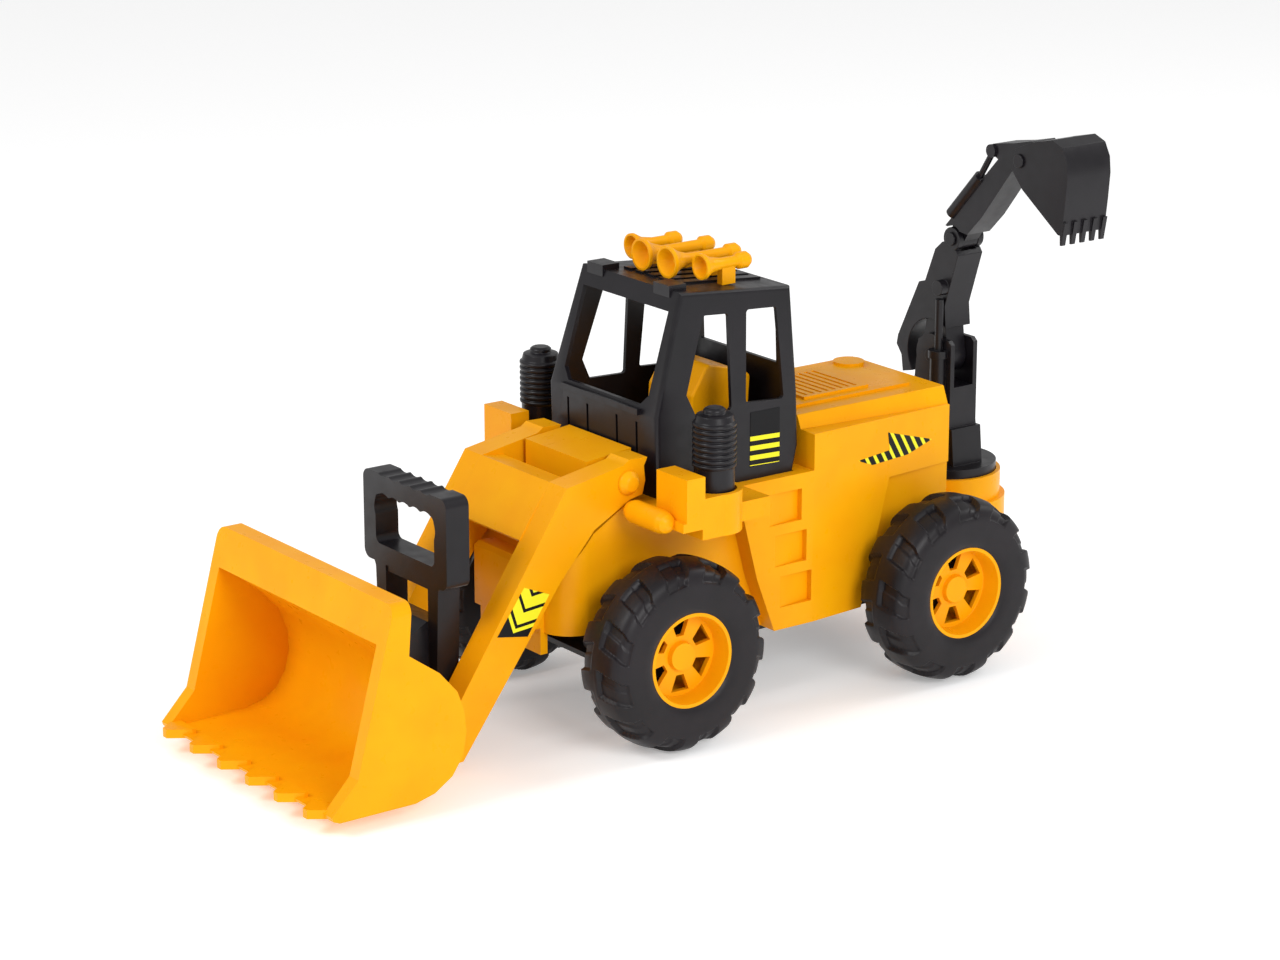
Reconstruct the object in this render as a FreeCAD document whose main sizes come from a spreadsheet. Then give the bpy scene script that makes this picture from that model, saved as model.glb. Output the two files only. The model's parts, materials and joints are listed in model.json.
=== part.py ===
import FreeCAD, Part
import os
import re
import Sketcher
from FreeCAD import Placement, Rotation, Vector

# Toy backhoe loader, about 0.7 m long.
# Every size below is measured in the vehicle's own coordinates, in millimetres:
# x = 0 is the centre plane with +x on the driver's left, y = 0 is the front axle
# with +y towards the rear, and z = 0 is the ground.  Each finished piece is then
# shifted by ORIGIN, so that the part's origin lies under the middle of the whole toy.

doc = FreeCAD.newDocument("ToyBackhoeLoader")
sheet = doc.addObject("Spreadsheet::Sheet", "Dims")
aliases = {}


def dim(alias, value, note=""):
    """Write one driving dimension into the sheet."""
    row = len(aliases) + 1
    aliases[alias] = row
    sheet.set(f"A{row}", note or alias.replace("_", " "))
    sheet.set(f"B{row}", str(value))
    sheet.setAlias(f"B{row}", alias)


def bound(text):
    """Turn a formula of plain alias names into one that reads the sheet."""
    return re.sub(r"[a-z_][a-z_0-9]*", lambda word: "Dims." + word.group(0), str(text))


def bind(thing, prop, formula):
    thing.setExpression(prop, bound(formula))


# ---------------------------------------------------------------- running gear
dim("tyre_radius", 70, "tyre outer radius, so also the height of both axles")
dim("tyre_width", 50)
dim("wheel_outer_x", 128.4, "centre plane to the outer face of a tyre")
dim("wheelbase", 255.5, "front axle to rear axle")
dim("rim_radius", 34.9, "yellow rim where the tyre grips it")
dim("rim_wall", 3.2)
dim("rim_lip", 22.5, "wheel's middle plane to the rim's outer lip")
dim("disc_front", 8, "wheel's middle plane to the front of the spoked disc")
dim("disc_thickness", 4)
dim("hub_radius", 11)
dim("hub_rise", 4)
dim("sleeve_radius", 8, "sleeve that turns on the axle")
dim("sleeve_end", 24)
dim("spoke_gap_count", 6)
dim("gap_inner_radius", 14.5)
dim("gap_outer_radius", 26.5)
dim("gap_inner_half", 3.2)
dim("gap_outer_half", 7.8)
dim("axle_radius", 3)
dim("axle_end", 6.5, "wheel's middle plane to the end of the axle")
dim("axle_end_gap", 0.5)
dim("running_gap", 0.05, "radial clearance of every pin that turns")
dim("side_gap", 0.35, "clearance beside every piece that turns")
dim("shoulder_drop", 2.5, "crown of the tyre to its shoulder")
dim("shoulder_half", 18.5)
dim("sidewall_radius", 58)
dim("bead_radius", 42)
dim("bead_half", 22.5)
dim("bead_width", 5)
dim("tyre_wall", 3.5, "hollow tyre moulding")

# ------------------------------------------------------------------- chassis tray
dim("tray_bottom", 50)
dim("tray_thickness", 4)
dim("tray_half", 54)
dim("tray_front", -24)
dim("tray_rear_reach", 24, "tray behind the rear axle")
dim("axle_tube_radius", 7)
dim("axle_web_half", 5)
dim("post_x", 42.3)
dim("post_front_y", -16)
dim("post_rear_reach", -40, "rear posts, measured from the rear axle")
dim("post_radius", 5)
dim("screw_radius", 1.6)
dim("screw_head_radius", 3.4)
dim("screw_head_height", 2)
dim("screw_depth", 14)

# --------------------------------------------------------------------- body shell
dim("wall", 3, "wall of the yellow body moulding")
dim("core_half", 60)
dim("nose_front", -66)
dim("nose_low", 80)
dim("nose_high", 121)
dim("nose_slope_y", -38)
dim("nose_slope_z", 154)
dim("nose_corner", 24)
dim("deck_front", -8)
dim("deck_top", 171.5)
dim("belly", 56)
dim("belly_front", -28)
dim("rear_reach", 36, "rear axle to the back of the hood")
dim("grille_half", 38)
dim("grille_front", -74)
dim("grille_low", 84)
dim("grille_high", 131)
dim("apron_front", -69)
dim("apron_low", 64)
dim("bonnet_front", -28)
dim("bonnet_top_front", 200)
dim("bonnet_top_rear", 204)
dim("panel_half", 75)
dim("panel_top_y", 82)
dim("panel_mid_y", 84)
dim("panel_mid_z", 149)
dim("panel_low_y", 97.5)
dim("panel_low_z", 98)
dim("panel_foot_y", 114)
dim("panel_foot_z", 55)
dim("panel_heel_reach", -55, "panel's rear foot, from the rear axle")
dim("arch_reach", -27, "arch's front top corner, from the rear axle")
dim("arch_gap", 11, "rear tyre to the roof of its arch")
dim("shoulder_y", 150)
dim("shoulder_top", 199)
dim("shoulder_rear_top", 196)
dim("hood_rear_half", 61.5)
dim("hood_top", 209)
dim("hood_top_half", 54)
dim("ridge_half", 38)
dim("ridge_rise", 2)
dim("louvre_half", 30)
dim("louvre_front", 176)
dim("louvre_length", 62)
dim("louvre_rise", 2)
dim("louvre_count", 8)
dim("louvre_slot", 3)
dim("cap_x", -34)
dim("cap_reach", 16, "filler cap behind the rear axle")
dim("cap_radius", 12)
dim("cap_rise", 4)
dim("step_count", 3)
dim("step_depth", 5)
dim("step_low", 72)
dim("step_pitch", 32)
dim("step_height", 24)
dim("step_front", 119)
dim("step_lean", 5)
dim("step_rear", 148.5)
dim("hood_wall", 4)

# ------------------------------------------------------------------------ fenders
dim("fender_gap", 17, "front tyre to the underside of the fender")
dim("fender_inner", 58)
dim("fender_rear", 84)
dim("block_inner", 90)
dim("block_outer", 125.5)
dim("block_front", -5)
dim("block_depth", 16)
dim("block_top", 203)
dim("block_low", 165, "underside of the block and of the deck in front of it")
dim("lamp_radius", 8.5)
dim("lamp_y", -13)
dim("lamp_z", 170)
dim("lamp_inner", 76)
dim("lamp_outer", 108)
dim("stack_x", 106.4)
dim("stack_y", 33.4)
dim("collar_radius", 20)
dim("collar_top", 187)
dim("stack_seat", 184)
dim("stack_radius", 14.5)
dim("stack_ring_radius", 15.8)
dim("stack_ring_start", 203)
dim("stack_ring_pitch", 4.2)
dim("stack_ring_count", 8)
dim("stack_dome_radius", 13)
dim("stack_dome_height", 4)
dim("stack_cap_radius", 8)
dim("stack_cap_height", 5)

# ------------------------------------------------------------------- tail bracket
dim("swing_reach", 88.5, "rear axle to the swing axis")
dim("tail_half", 34)
dim("tail_low", 84)
dim("tail_mid", 104)
dim("tail_seat", 116, "face that carries the turntable")
dim("tail_rim_top", 124)
dim("tail_radius", 46)
dim("tail_rim_radius", 42)
dim("turntable_radius", 38.5)
dim("turntable_top", 131)
dim("swing_pin_radius", 5)

# ---------------------------------------------------------------------------- cab
dim("cab_half", 66)
dim("cab_roof_half", 60)
dim("cab_wall", 3.2)
dim("cab_base", 171.5)
dim("cab_front_low", 14)
dim("cab_waist_y", 12.6)
dim("cab_waist_z", 231)
dim("cab_roof_front", 38)
dim("cab_roof_front_z", 317.5)
dim("cab_roof_rear", 138)
dim("cab_roof_rear_z", 309)
dim("cab_bulge_y", 142.4)
dim("cab_bulge_z", 190)
dim("cab_rear_low", 138)
dim("screen_half", 51.5)
dim("screen_low", 236.3)
dim("screen_high", 303.3)
dim("screen_chamfer", 8)
dim("back_window_half", 45)
dim("back_window_low", 249)
dim("back_window_high", 297)
dim("roof_block_inner", 30.8)
dim("roof_block_outer", 49.8)
dim("roof_block_rise", 3.5)
dim("roof_block_depth", 13)
dim("roof_rib_count", 5)
dim("roof_rib_pitch", 14)
dim("roof_rib_half", 4)
dim("roof_rib_rise", 1.6)
dim("roof_rib_front", 56)
dim("roof_rib_rear", 132)
dim("panel_groove_x", 18)
dim("panel_groove_spread", 24)
dim("panel_groove_width", 2.4)
dim("panel_groove_depth", 1.2)
dim("panel_groove_low", 177)
dim("panel_groove_high", 224)
dim("ledge_half", 47)
dim("ledge_rise", 3.5)
dim("ledge_reach", 3)
dim("seat_half", 27)

# -------------------------------------------------------------------------- horns
dim("horn_axis_z", 328.7)
dim("horn_inner_x", 15.5)
dim("horn_inner_y", 59)
dim("horn_inner_bell", 11.7)
dim("horn_inner_length", 65)
dim("horn_outer_x", 41.3)
dim("horn_outer_y", 69.5)
dim("horn_outer_bell", 9.5)
dim("horn_outer_length", 44)
dim("horn_tube_radius", 4.2)
dim("horn_foot_half", 3)
dim("horn_foot_length", 12)
dim("horn_foot_back", 14, "foot to the rear end of its horn")

# -------------------------------------------------------------------- loader arms
dim("arm_pivot_y", -10.6)
dim("arm_pivot_z", 188)
dim("arm_inner", 42)
dim("arm_outer", 63.9)
dim("arm_wall", 3)
dim("arm_pin_radius", 4)
dim("arm_pin_inner", 22)
dim("arm_pin_head_radius", 9)
dim("arm_pin_head_height", 7.5)

# ------------------------------------------------------------------ loader bucket
dim("bucket_pivot_y", -160)
dim("bucket_pivot_z", 24)
dim("bucket_half", 115.2)
dim("bucket_inner_half", 104)
dim("lip_top", 131, "top of the bucket's lip above its pivot")
dim("lip_corner", 9)
dim("bucket_ear_inner", 28)
dim("bucket_pin_radius", 4)
dim("bucket_pin_end", 58)
dim("tooth_count", 6)
dim("tooth_pitch", 38)
dim("tooth_root_half", 13)
dim("tooth_tip_half", 2.5)
dim("tooth_root_y", -126, "tooth root, from the bucket's pivot")
dim("tooth_tip_y", -141, "tooth tip, from the bucket's pivot")
dim("tooth_top", -4.5)
dim("tooth_bottom", -11)

# ------------------------------------------------------------------------- handle
dim("grip_half", 53)
dim("grip_opening_half", 37.5)
dim("grip_top", 198)
dim("grip_bottom", 132)
dim("grip_opening_low", 146)
dim("grip_opening_high", 182.5)
dim("grip_front", -157.5)
dim("grip_rear", -138.5)
dim("grip_corner", 7)
dim("finger_count", 5)
dim("finger_pitch", 13.5)
dim("finger_radius", 12)
dim("finger_depth", 1.6)
dim("leg_inner", 27)
dim("leg_outer", 40)
dim("leg_foot", 56)
dim("foot_half", 27)
dim("handle_bolt_x", 14)
dim("handle_bolt_z", 77)
dim("handle_bolt_radius", 2)
dim("handle_bolt_head", 3.6)
dim("handle_bolt_reach", 5)

# ------------------------------------------------------------------------ backhoe
dim("post_half", 13.5, "half thickness of the swinging post")
dim("post_slot_half", 9.5)
dim("boom_half", 12.5)
dim("boom_tongue_half", 9.15)
dim("boom_slot_half", 7.5)
dim("dipper_half", 11.5)
dim("dipper_tongue_half", 7.15)
dim("scoop_half", 21.5)
dim("scoop_wall", 2.5)
dim("boom_pivot_x", -6)
dim("boom_pivot_z", 214)
dim("post_eye_radius", 17)
dim("boom_eye_radius", 15)
dim("eye_gap", 1.5)
dim("boom_clear_radius", 28.5, "boom's thick part round the post's head")
dim("rod_top_gap", 3, "ram rod below the boss on the boom")
dim("elbow_x", 13.5)
dim("elbow_z", 309)
dim("elbow_eye_radius", 9)
dim("scoop_pivot_x", 97)
dim("scoop_pivot_z", 384)
dim("scoop_eye_radius", 10)
dim("backhoe_pin_radius", 3.5)
dim("pin_head_radius", 5.2)
dim("pin_head_height", 1.8)
dim("ram_x", 5.9)
dim("ram_proud", 2.5, "ram axis in front of the post's face")
dim("ram_radius", 6.5)
dim("ram_low", 150)
dim("ram_top", 221)
dim("ram_ring_radius", 8)
dim("ram_ring_height", 6)
dim("rod_radius", 3.2)
dim("rod_head_z", 270)
dim("rod_head_radius", 6)
dim("scoop_reach", 148.8, "swing axis to the back of the backhoe bucket")
dim("scoop_tooth_count", 5)
dim("scoop_tooth_pitch", 9.6)
dim("scoop_tooth_half", 2)

dim("dipper_barrel_radius", 5)
dim("dipper_rod_radius", 2.4)
dim("dipper_boss_radius", 5)
dim("dipper_ram_sunk", 1.5, "ram axis behind the dipper's front face")
dim("knuckle_radius", 7)

# ----------------------------------------------------------------------- stickers
dim("sticker_thickness", 0.3)

Y_REAR_HOOD = "(wheelbase + rear_reach)"
Y_SWING = "(wheelbase + swing_reach)"
WHEEL_MIDDLE = "(wheel_outer_x - tyre_width / 2)"
FENDER_LOW = "(2 * tyre_radius + fender_gap)"
ARCH_TOP = "(2 * tyre_radius + arch_gap)"
ARM_PIVOT = ("0", "arm_pivot_y", "arm_pivot_z")
BUCKET_PIVOT = ("0", "bucket_pivot_y", "bucket_pivot_z")
GROUND = ("0", "0", "0")
ORIGIN = (
    "(wheel_outer_x - scoop_reach) / 2",
    f"-(bucket_pivot_y + tooth_tip_y + {Y_SWING} + tail_radius) / 2",
    "0",
)
PLANES = {"YZ": "YZ_Plane", "XY": "XY_Plane", "XZ": "XZ_Plane"}
TURNS = {
    "X": Rotation(Vector(0, 1, 0), 90),
    "Y": Rotation(Vector(1, 0, 0), -90),
    "Z": Rotation(),
}
places = {}
pieces = []


# ------------------------------------------------------------------ modelling tools
def set_place(thing, at):
    """Bind an object's position to three formulas."""
    places[thing.Name] = at
    for axis, formula in zip("xyz", at):
        bind(thing, f"Placement.Base.{axis}", formula)


def origin_feature(body, role):
    return [item for item in body.Origin.OriginFeatures if item.Role == role][0]


def outline(body, name, plane, points, offset="0"):
    """A closed sketch of straight runs.  Each point is (label, a, b)."""
    sketch = body.newObject("Sketcher::SketchObject", name + "_outline")
    sketch.AttachmentSupport = (origin_feature(body, PLANES[plane]), [""])
    sketch.MapMode = "FlatFace"
    bind(sketch, "AttachmentOffset.Base.z", offset)
    count = len(points)
    seeds = [Vector(*seed_of(point), 0) for point in points]
    for index in range(count):
        sketch.addGeometry(Part.LineSegment(seeds[index], seeds[(index + 1) % count]))
    for index in range(count):
        sketch.addConstraint(
            Sketcher.Constraint("Coincident", index, 2, (index + 1) % count, 1))
    for index, (label, along, up) in enumerate(points):
        for kind, size in (("DistanceX", along), ("DistanceY", up)):
            number = sketch.addConstraint(Sketcher.Constraint(kind, index, 1, 1.0))
            sketch.setExpression(f"Constraints[{number}]", bound(cell(name, label, kind, size)))
    return sketch


def seed_of(point):
    """A first place for a sketch point; formulas are solved later."""
    numbers = [size if isinstance(size, (int, float)) else 0.0 for size in point[1:]]
    spread = 1.0 + 0.1 * sum(ord(letter) for letter in point[0])
    return [number or spread for number in numbers]


def cell(name, label, kind, size):
    """Give a plain number its own cell and return the formula that reads it."""
    if not isinstance(size, (int, float)):
        return size
    alias = f"{name}_{label}_{'along' if kind == 'DistanceX' else 'up'}"
    dim(alias, size)
    return alias


def prism(name, plane, points, low, high, at=GROUND, rounds=()):
    """A body padded from an outline, from low to high along the plane's normal."""
    body = doc.addObject("PartDesign::Body", name)
    set_place(body, at)
    start = f"-({high})" if plane == "XZ" else low
    sketch = outline(body, name, plane, points, start)
    pad = body.newObject("PartDesign::Pad", name + "_pad")
    pad.Profile = sketch
    bind(pad, "Length", f"({high}) - ({low})")
    body.Tip = pad
    for radius, labels in rounds:
        round_corners(body, name, plane, sketch, points, radius, labels)
    return body


def round_corners(body, name, plane, sketch, points, radius, labels):
    """Fillet the prism's edges that start at the labelled outline points."""
    doc.recompute()
    axes = {"YZ": (1, 2), "XY": (0, 1), "XZ": (0, 2)}[plane]
    wanted = [sketch.Geometry[index].StartPoint
              for index, point in enumerate(points) if point[0] in labels]
    base = body.Tip
    names = []
    for number, edge in enumerate(base.Shape.Edges, 1):
        ends = [vertex.Point for vertex in edge.Vertexes]
        for corner in wanted:
            if all(abs(end[axes[0]] - corner.x) + abs(end[axes[1]] - corner.y) < 1e-4
                   for end in ends):
                names.append(f"Edge{number}")
    fillet = body.newObject("PartDesign::Fillet", f"{name}_round")
    fillet.Base = (base, names)
    bind(fillet, "Radius", radius)
    body.Tip = fillet


def box(name, x, y, z):
    """A block between the low and high formula of each axis."""
    block = doc.addObject("Part::Box", name)
    for prop, (low, high) in zip(("Length", "Width", "Height"), (x, y, z)):
        bind(block, prop, f"({high}) - ({low})")
    set_place(block, (x[0], y[0], z[0]))
    return block


def cylinder(name, axis, radius, low, high, at):
    """A round bar along an axis; at gives the other two coordinates."""
    bar = doc.addObject("Part::Cylinder", name)
    bar.Placement = Placement(Vector(), TURNS[axis])
    bind(bar, "Radius", radius)
    bind(bar, "Height", f"({high}) - ({low})")
    spot = list(at)
    spot["XYZ".index(axis)] = low
    set_place(bar, spot)
    return bar


def turned(name, plane, axis, points, at=GROUND, turn=None):
    """A body of revolution about a sketch axis: H is across, V is up."""
    body = doc.addObject("PartDesign::Body", name)
    if turn:
        body.Placement = Placement(Vector(), turn)
    set_place(body, at)
    sketch = outline(body, name, plane, points)
    solid = body.newObject("PartDesign::Revolution", name + "_turn")
    solid.Profile = sketch
    solid.ReferenceAxis = (sketch, [axis])
    solid.Angle = 360
    body.Tip = solid
    return body


def fuse(name, *shapes):
    joined = doc.addObject("Part::MultiFuse", name)
    joined.Shapes = list(shapes)
    joined.Refine = True
    return joined


def common(name, *shapes):
    shared = doc.addObject("Part::MultiCommon", name)
    shared.Shapes = list(shapes)
    return shared


def cut(name, base, *tools):
    tool = tools[0] if len(tools) == 1 else fuse(name + "_tools", *tools)
    rest = doc.addObject("Part::Cut", name)
    rest.Base = base
    rest.Tool = tool
    return rest


def mirror(name, source):
    """The same shape on the other side of the centre plane."""
    copy = doc.addObject("Part::Mirroring", name)
    copy.Source = source
    copy.Normal = Vector(1, 0, 0)
    return copy


def finish(label, thing):
    """Name a finished piece and move it into the part's own frame."""
    thing.Label = label
    at = places.get(thing.Name, GROUND)
    set_place(thing, [f"({here}) + ({shift})" for here, shift in zip(at, ORIGIN)])
    pieces.append(thing)


def finish_pair(label, left):
    """Finish a left-hand piece and its mirrored right-hand twin."""
    right = mirror(left.Name + "_right", left)
    holder = fuse_one(left.Name + "_left", left)
    finish(label + "_left", holder)
    finish(label + "_right", right)


def fuse_one(name, source):
    """A second object with the same shape, mirrored twice."""
    return mirror(name, mirror(name + "_flip", source))


# --------------------------------------------------------------------------- wheels
def make_tyre(name, at, turn):
    """A hollow tyre; a web behind the rim closes its inner side down to the sleeve."""
    points = [
        ("web_face", "-tyre_width / 2", "sleeve_radius + side_gap"),
        ("wall_high_in", "-tyre_width / 2", "sidewall_radius"),
        ("shoulder_in", "-shoulder_half", "tyre_radius - shoulder_drop"),
        ("crown_in", "-shoulder_half / 2", "tyre_radius"),
        ("crown_out", "shoulder_half / 2", "tyre_radius"),
        ("shoulder_out", "shoulder_half", "tyre_radius - shoulder_drop"),
        ("wall_high_out", "tyre_width / 2", "sidewall_radius"),
        ("wall_low_out", "tyre_width / 2", "bead_radius"),
        ("bead_out", "bead_half", "rim_radius"),
        ("foot_out", "bead_half - bead_width", "rim_radius"),
        ("inside_low_out", "tyre_width / 2 - tyre_wall", "bead_radius + 2"),
        ("inside_high_out", "tyre_width / 2 - tyre_wall", "sidewall_radius - 1"),
        ("inside_crown_out", "shoulder_half - tyre_wall", "tyre_radius - shoulder_drop - tyre_wall"),
        ("inside_crown_in", "tyre_wall - shoulder_half", "tyre_radius - shoulder_drop - tyre_wall"),
        ("inside_high_in", "tyre_wall - tyre_width / 2", "sidewall_radius - 1"),
        ("inside_low_in", "tyre_wall - tyre_width / 2", "bead_radius + 2"),
        ("foot_in", "bead_width - bead_half", "rim_radius"),
        ("seat_in", "-bead_half", "rim_radius"),
        ("web_back", "-bead_half", "sleeve_radius + side_gap"),
    ]
    return turned(name, "XZ", "H_Axis", points, at, turn)


def make_rim(name, at, turn):
    inner = "rim_radius - rim_wall"
    bore = "axle_radius + running_gap"
    back = "disc_front - disc_thickness"
    points = [
        ("bore_end", "-sleeve_end", bore),
        ("sleeve_end", "-sleeve_end", "sleeve_radius"),
        ("sleeve_root", back, "sleeve_radius"),
        ("disc_back", back, inner),
        ("barrel_in", "-bead_half", inner),
        ("seat_in", "-bead_half", "rim_radius"),
        ("seat_out", "rim_lip", "rim_radius"),
        ("lip", "rim_lip", inner + " + 0.6"),
        ("disc_edge", "disc_front", inner + " - 1.8"),
        ("hub_root", "disc_front", "hub_radius"),
        ("hub_edge", "disc_front + hub_rise", "hub_radius - 1"),
        ("hub_middle", "disc_front + hub_rise", "0"),
        ("bore_middle", "axle_end + axle_end_gap", "0"),
        ("bore_corner", "axle_end + axle_end_gap", bore),
    ]
    body = turned(name, "XZ", "H_Axis", points, at, turn)
    gap = [
        ("low_left", "-gap_inner_half", "gap_inner_radius"),
        ("low_right", "gap_inner_half", "gap_inner_radius"),
        ("high_right", "gap_outer_half", "gap_outer_radius"),
        ("high_left", "-gap_outer_half", "gap_outer_radius"),
    ]
    sketch = outline(body, name + "_gap", "YZ", gap, back + " - 1")
    pocket = body.newObject("PartDesign::Pocket", name + "_gap_pocket")
    pocket.Profile = sketch
    pocket.Reversed = True
    bind(pocket, "Length", "disc_thickness + 2")
    pattern = body.newObject("PartDesign::PolarPattern", name + "_gap_pattern")
    pattern.Originals = [pocket]
    pattern.Axis = (origin_feature(body, "X_Axis"), [""])
    pattern.Angle = 360
    bind(pattern, "Occurrences", "spoke_gap_count")
    body.Tip = pattern
    return body


def make_wheels():
    half_turn = Rotation(Vector(0, 0, 1), 180)
    for end, y in (("front", "0"), ("rear", "wheelbase")):
        for side, sign, turn in (("left", "", None), ("right", "-", half_turn)):
            at = (f"{sign}{WHEEL_MIDDLE}", y, "tyre_radius")
            corner = f"{end}_{side}"
            finish("tyre_" + corner, make_tyre("tyre_" + corner, at, turn))
            finish("rim_" + corner, make_rim("rim_" + corner, at, turn))


def make_axles():
    for end, y in (("front", "0"), ("rear", "wheelbase")):
        reach = f"({WHEEL_MIDDLE} + axle_end)"
        bar = cylinder(end + "_axle_bar", "X", "axle_radius", "-" + reach, reach,
                       ("0", y, "tyre_radius"))
        finish(end + "_axle", bar)


# ------------------------------------------------------------------ tray and screws
def screw_spots():
    rear = "(wheelbase + post_rear_reach)"
    return [(sign + "post_x", y) for y in ("post_front_y", rear) for sign in ("", "-")]


def make_tray():
    top = "tray_bottom + tray_thickness"
    rear = "wheelbase + tray_rear_reach"
    shapes = [box("tray_plate", ("-tray_half", "tray_half"), ("tray_front", rear),
                  ("tray_bottom", top))]
    bores = []
    reach = f"({WHEEL_MIDDLE} - sleeve_end - side_gap)"
    for end, y in (("front", "0"), ("rear", "wheelbase")):
        shapes.append(cylinder(f"tray_{end}_tube", "X", "axle_tube_radius", "-" + reach, reach,
                               ("0", y, "tyre_radius")))
        shapes.append(box(f"tray_{end}_web", ("-tray_half", "tray_half"),
                          (f"{y} - axle_web_half", f"{y} + axle_web_half"),
                          ("tray_bottom", "tyre_radius")))
        bores.append(cylinder(f"tray_{end}_bore", "X", "axle_radius", "-wheel_outer_x",
                              "wheel_outer_x", ("0", y, "tyre_radius")))
    for number, (x, y) in enumerate(screw_spots()):
        bores.append(cylinder(f"tray_screw_hole{number}", "Z", "screw_radius", "0", top,
                              (x, y, "0")))
        bores.append(cylinder(f"tray_screw_sink{number}", "Z", "screw_head_radius", "0",
                              "tray_bottom + screw_head_height", (x, y, "0")))
    finish("chassis_tray", cut("tray", fuse("tray_solid", *shapes), *bores))


def make_screws():
    shapes = []
    for number, (x, y) in enumerate(screw_spots()):
        shapes.append(fuse(
            f"screw{number}",
            cylinder(f"screw_head{number}", "Z", "screw_head_radius", "tray_bottom",
                     "tray_bottom + screw_head_height", (x, y, "0")),
            cylinder(f"screw_shank{number}", "Z", "screw_radius", "tray_bottom",
                     "tray_bottom + screw_depth", (x, y, "0"))))
    group = doc.addObject("Part::Compound", "screw_group")
    group.Links = shapes
    finish("chassis_screws", group)


# ----------------------------------------------------------------------- body shell
def body_plan(name, extra):
    """Plan of the wide body: straight to the shoulder, then tapering to the rear."""
    half = f"(panel_half + {extra})"
    rear = f"(hood_rear_half + {extra})"
    points = [
        ("front_right", "-" + half, "0"),
        ("front_left", half, "0"),
        ("shoulder_left", half, "shoulder_y"),
        ("rear_left", rear, Y_REAR_HOOD),
        ("rear_right", "-" + rear, Y_REAR_HOOD),
        ("shoulder_right", "-" + half, "shoulder_y"),
    ]
    return prism(name, "XY", points, "belly - 5", "hood_top + 5")


def make_core():
    profile = prism("core_profile", "YZ", [
        ("nose_low", "nose_front", "nose_low"),
        ("nose_high", "nose_front", "nose_high"),
        ("slope", "nose_slope_y", "nose_slope_z"),
        ("deck_front", "deck_front", "deck_top"),
        ("deck_rear", Y_REAR_HOOD, "deck_top"),
        ("belly_rear", Y_REAR_HOOD, "belly"),
        ("belly_front", "belly_front", "belly"),
        ("nose_back", "belly_front - 16", "nose_low"),
    ], "-core_half", "core_half")
    plan = prism("core_plan", "XY", [
        ("front_right", "-core_half", "nose_front"),
        ("front_left", "core_half", "nose_front"),
        ("rear_left", "core_half", Y_REAR_HOOD),
        ("rear_right", "-core_half", Y_REAR_HOOD),
    ], "belly - 5", "hood_top", rounds=[("nose_corner", ("front_left", "front_right"))])
    return common("core", profile, plan)


def make_nose():
    grille = prism("grille", "YZ", [
        ("low", "grille_front", "grille_low"),
        ("high", "grille_front", "grille_high - 3"),
        ("edge", "grille_front + 4", "grille_high"),
        ("back_high", "nose_slope_y", "grille_high"),
        ("back_low", "nose_slope_y", "grille_low"),
    ], "-grille_half", "grille_half")
    apron = box("apron", ("-grille_half", "grille_half"), ("apron_front", "nose_slope_y"),
                ("apron_low", "grille_low"))
    bonnet = prism("bonnet", "YZ", [
        ("front_low", "bonnet_front", "nose_slope_z"),
        ("front_high", "bonnet_front", "bonnet_top_front"),
        ("rear_high", "cab_waist_y - 1.6", "bonnet_top_rear"),
        ("rear_low", "cab_waist_y - 1.6", "nose_slope_z"),
    ], "-grille_half", "grille_half")
    return [grille, apron, bonnet]


def make_wide_body():
    side = prism("side_profile", "YZ", [
        ("top_front", "panel_top_y", "deck_top"),
        ("mid_front", "panel_mid_y", "panel_mid_z"),
        ("low_front", "panel_low_y", "panel_low_z"),
        ("foot", "panel_foot_y", "panel_foot_z"),
        ("heel", "wheelbase + panel_heel_reach", "panel_foot_z"),
        ("arch_front", "wheelbase + arch_reach", ARCH_TOP),
        ("arch_rear", Y_REAR_HOOD, ARCH_TOP),
        ("rear_top", Y_REAR_HOOD, "shoulder_rear_top"),
        ("shoulder_top", "shoulder_y", "shoulder_top"),
        ("shoulder_foot", "shoulder_y", "deck_top"),
    ], "-panel_half - 1", "panel_half + 1")
    return common("wide_body", side, body_plan("wide_plan", "0"))


def make_hood_top():
    hood = prism("hood_block", "XZ", [
        ("low_right", "-core_half", "deck_top - 5"),
        ("side_right", "-core_half", "shoulder_rear_top"),
        ("top_right", "-hood_top_half", "hood_top"),
        ("top_left", "hood_top_half", "hood_top"),
        ("side_left", "core_half", "shoulder_rear_top"),
        ("low_left", "core_half", "deck_top - 5"),
    ], "shoulder_y", Y_REAR_HOOD)
    ridge = box("hood_ridge", ("-ridge_half", "ridge_half"),
                ("shoulder_y + 6", Y_REAR_HOOD + " - 20"), ("hood_top - 1", "hood_top + ridge_rise"))
    top = "(hood_top + ridge_rise + louvre_rise)"
    pad = box("louvre_pad", ("-louvre_half", "louvre_half"),
              ("louvre_front", "louvre_front + louvre_length"), ("hood_top - 1", top))
    slots = []
    for number in range(8):
        start = f"louvre_front + 4 + {number} * (louvre_length - 8) / louvre_count"
        slots.append(box(f"louvre_slot{number}", ("-louvre_half + 4", "louvre_half - 4"),
                         (start, start + " + louvre_slot"), (top + " - 0.8", top + " + 1")))
    cap = cylinder("filler_cap", "Z", "cap_radius", "hood_top - 1", "hood_top + cap_rise",
                   ("cap_x", "wheelbase + cap_reach", "0"))
    return [hood, ridge, cut("louvres", pad, *slots), cap]


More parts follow.
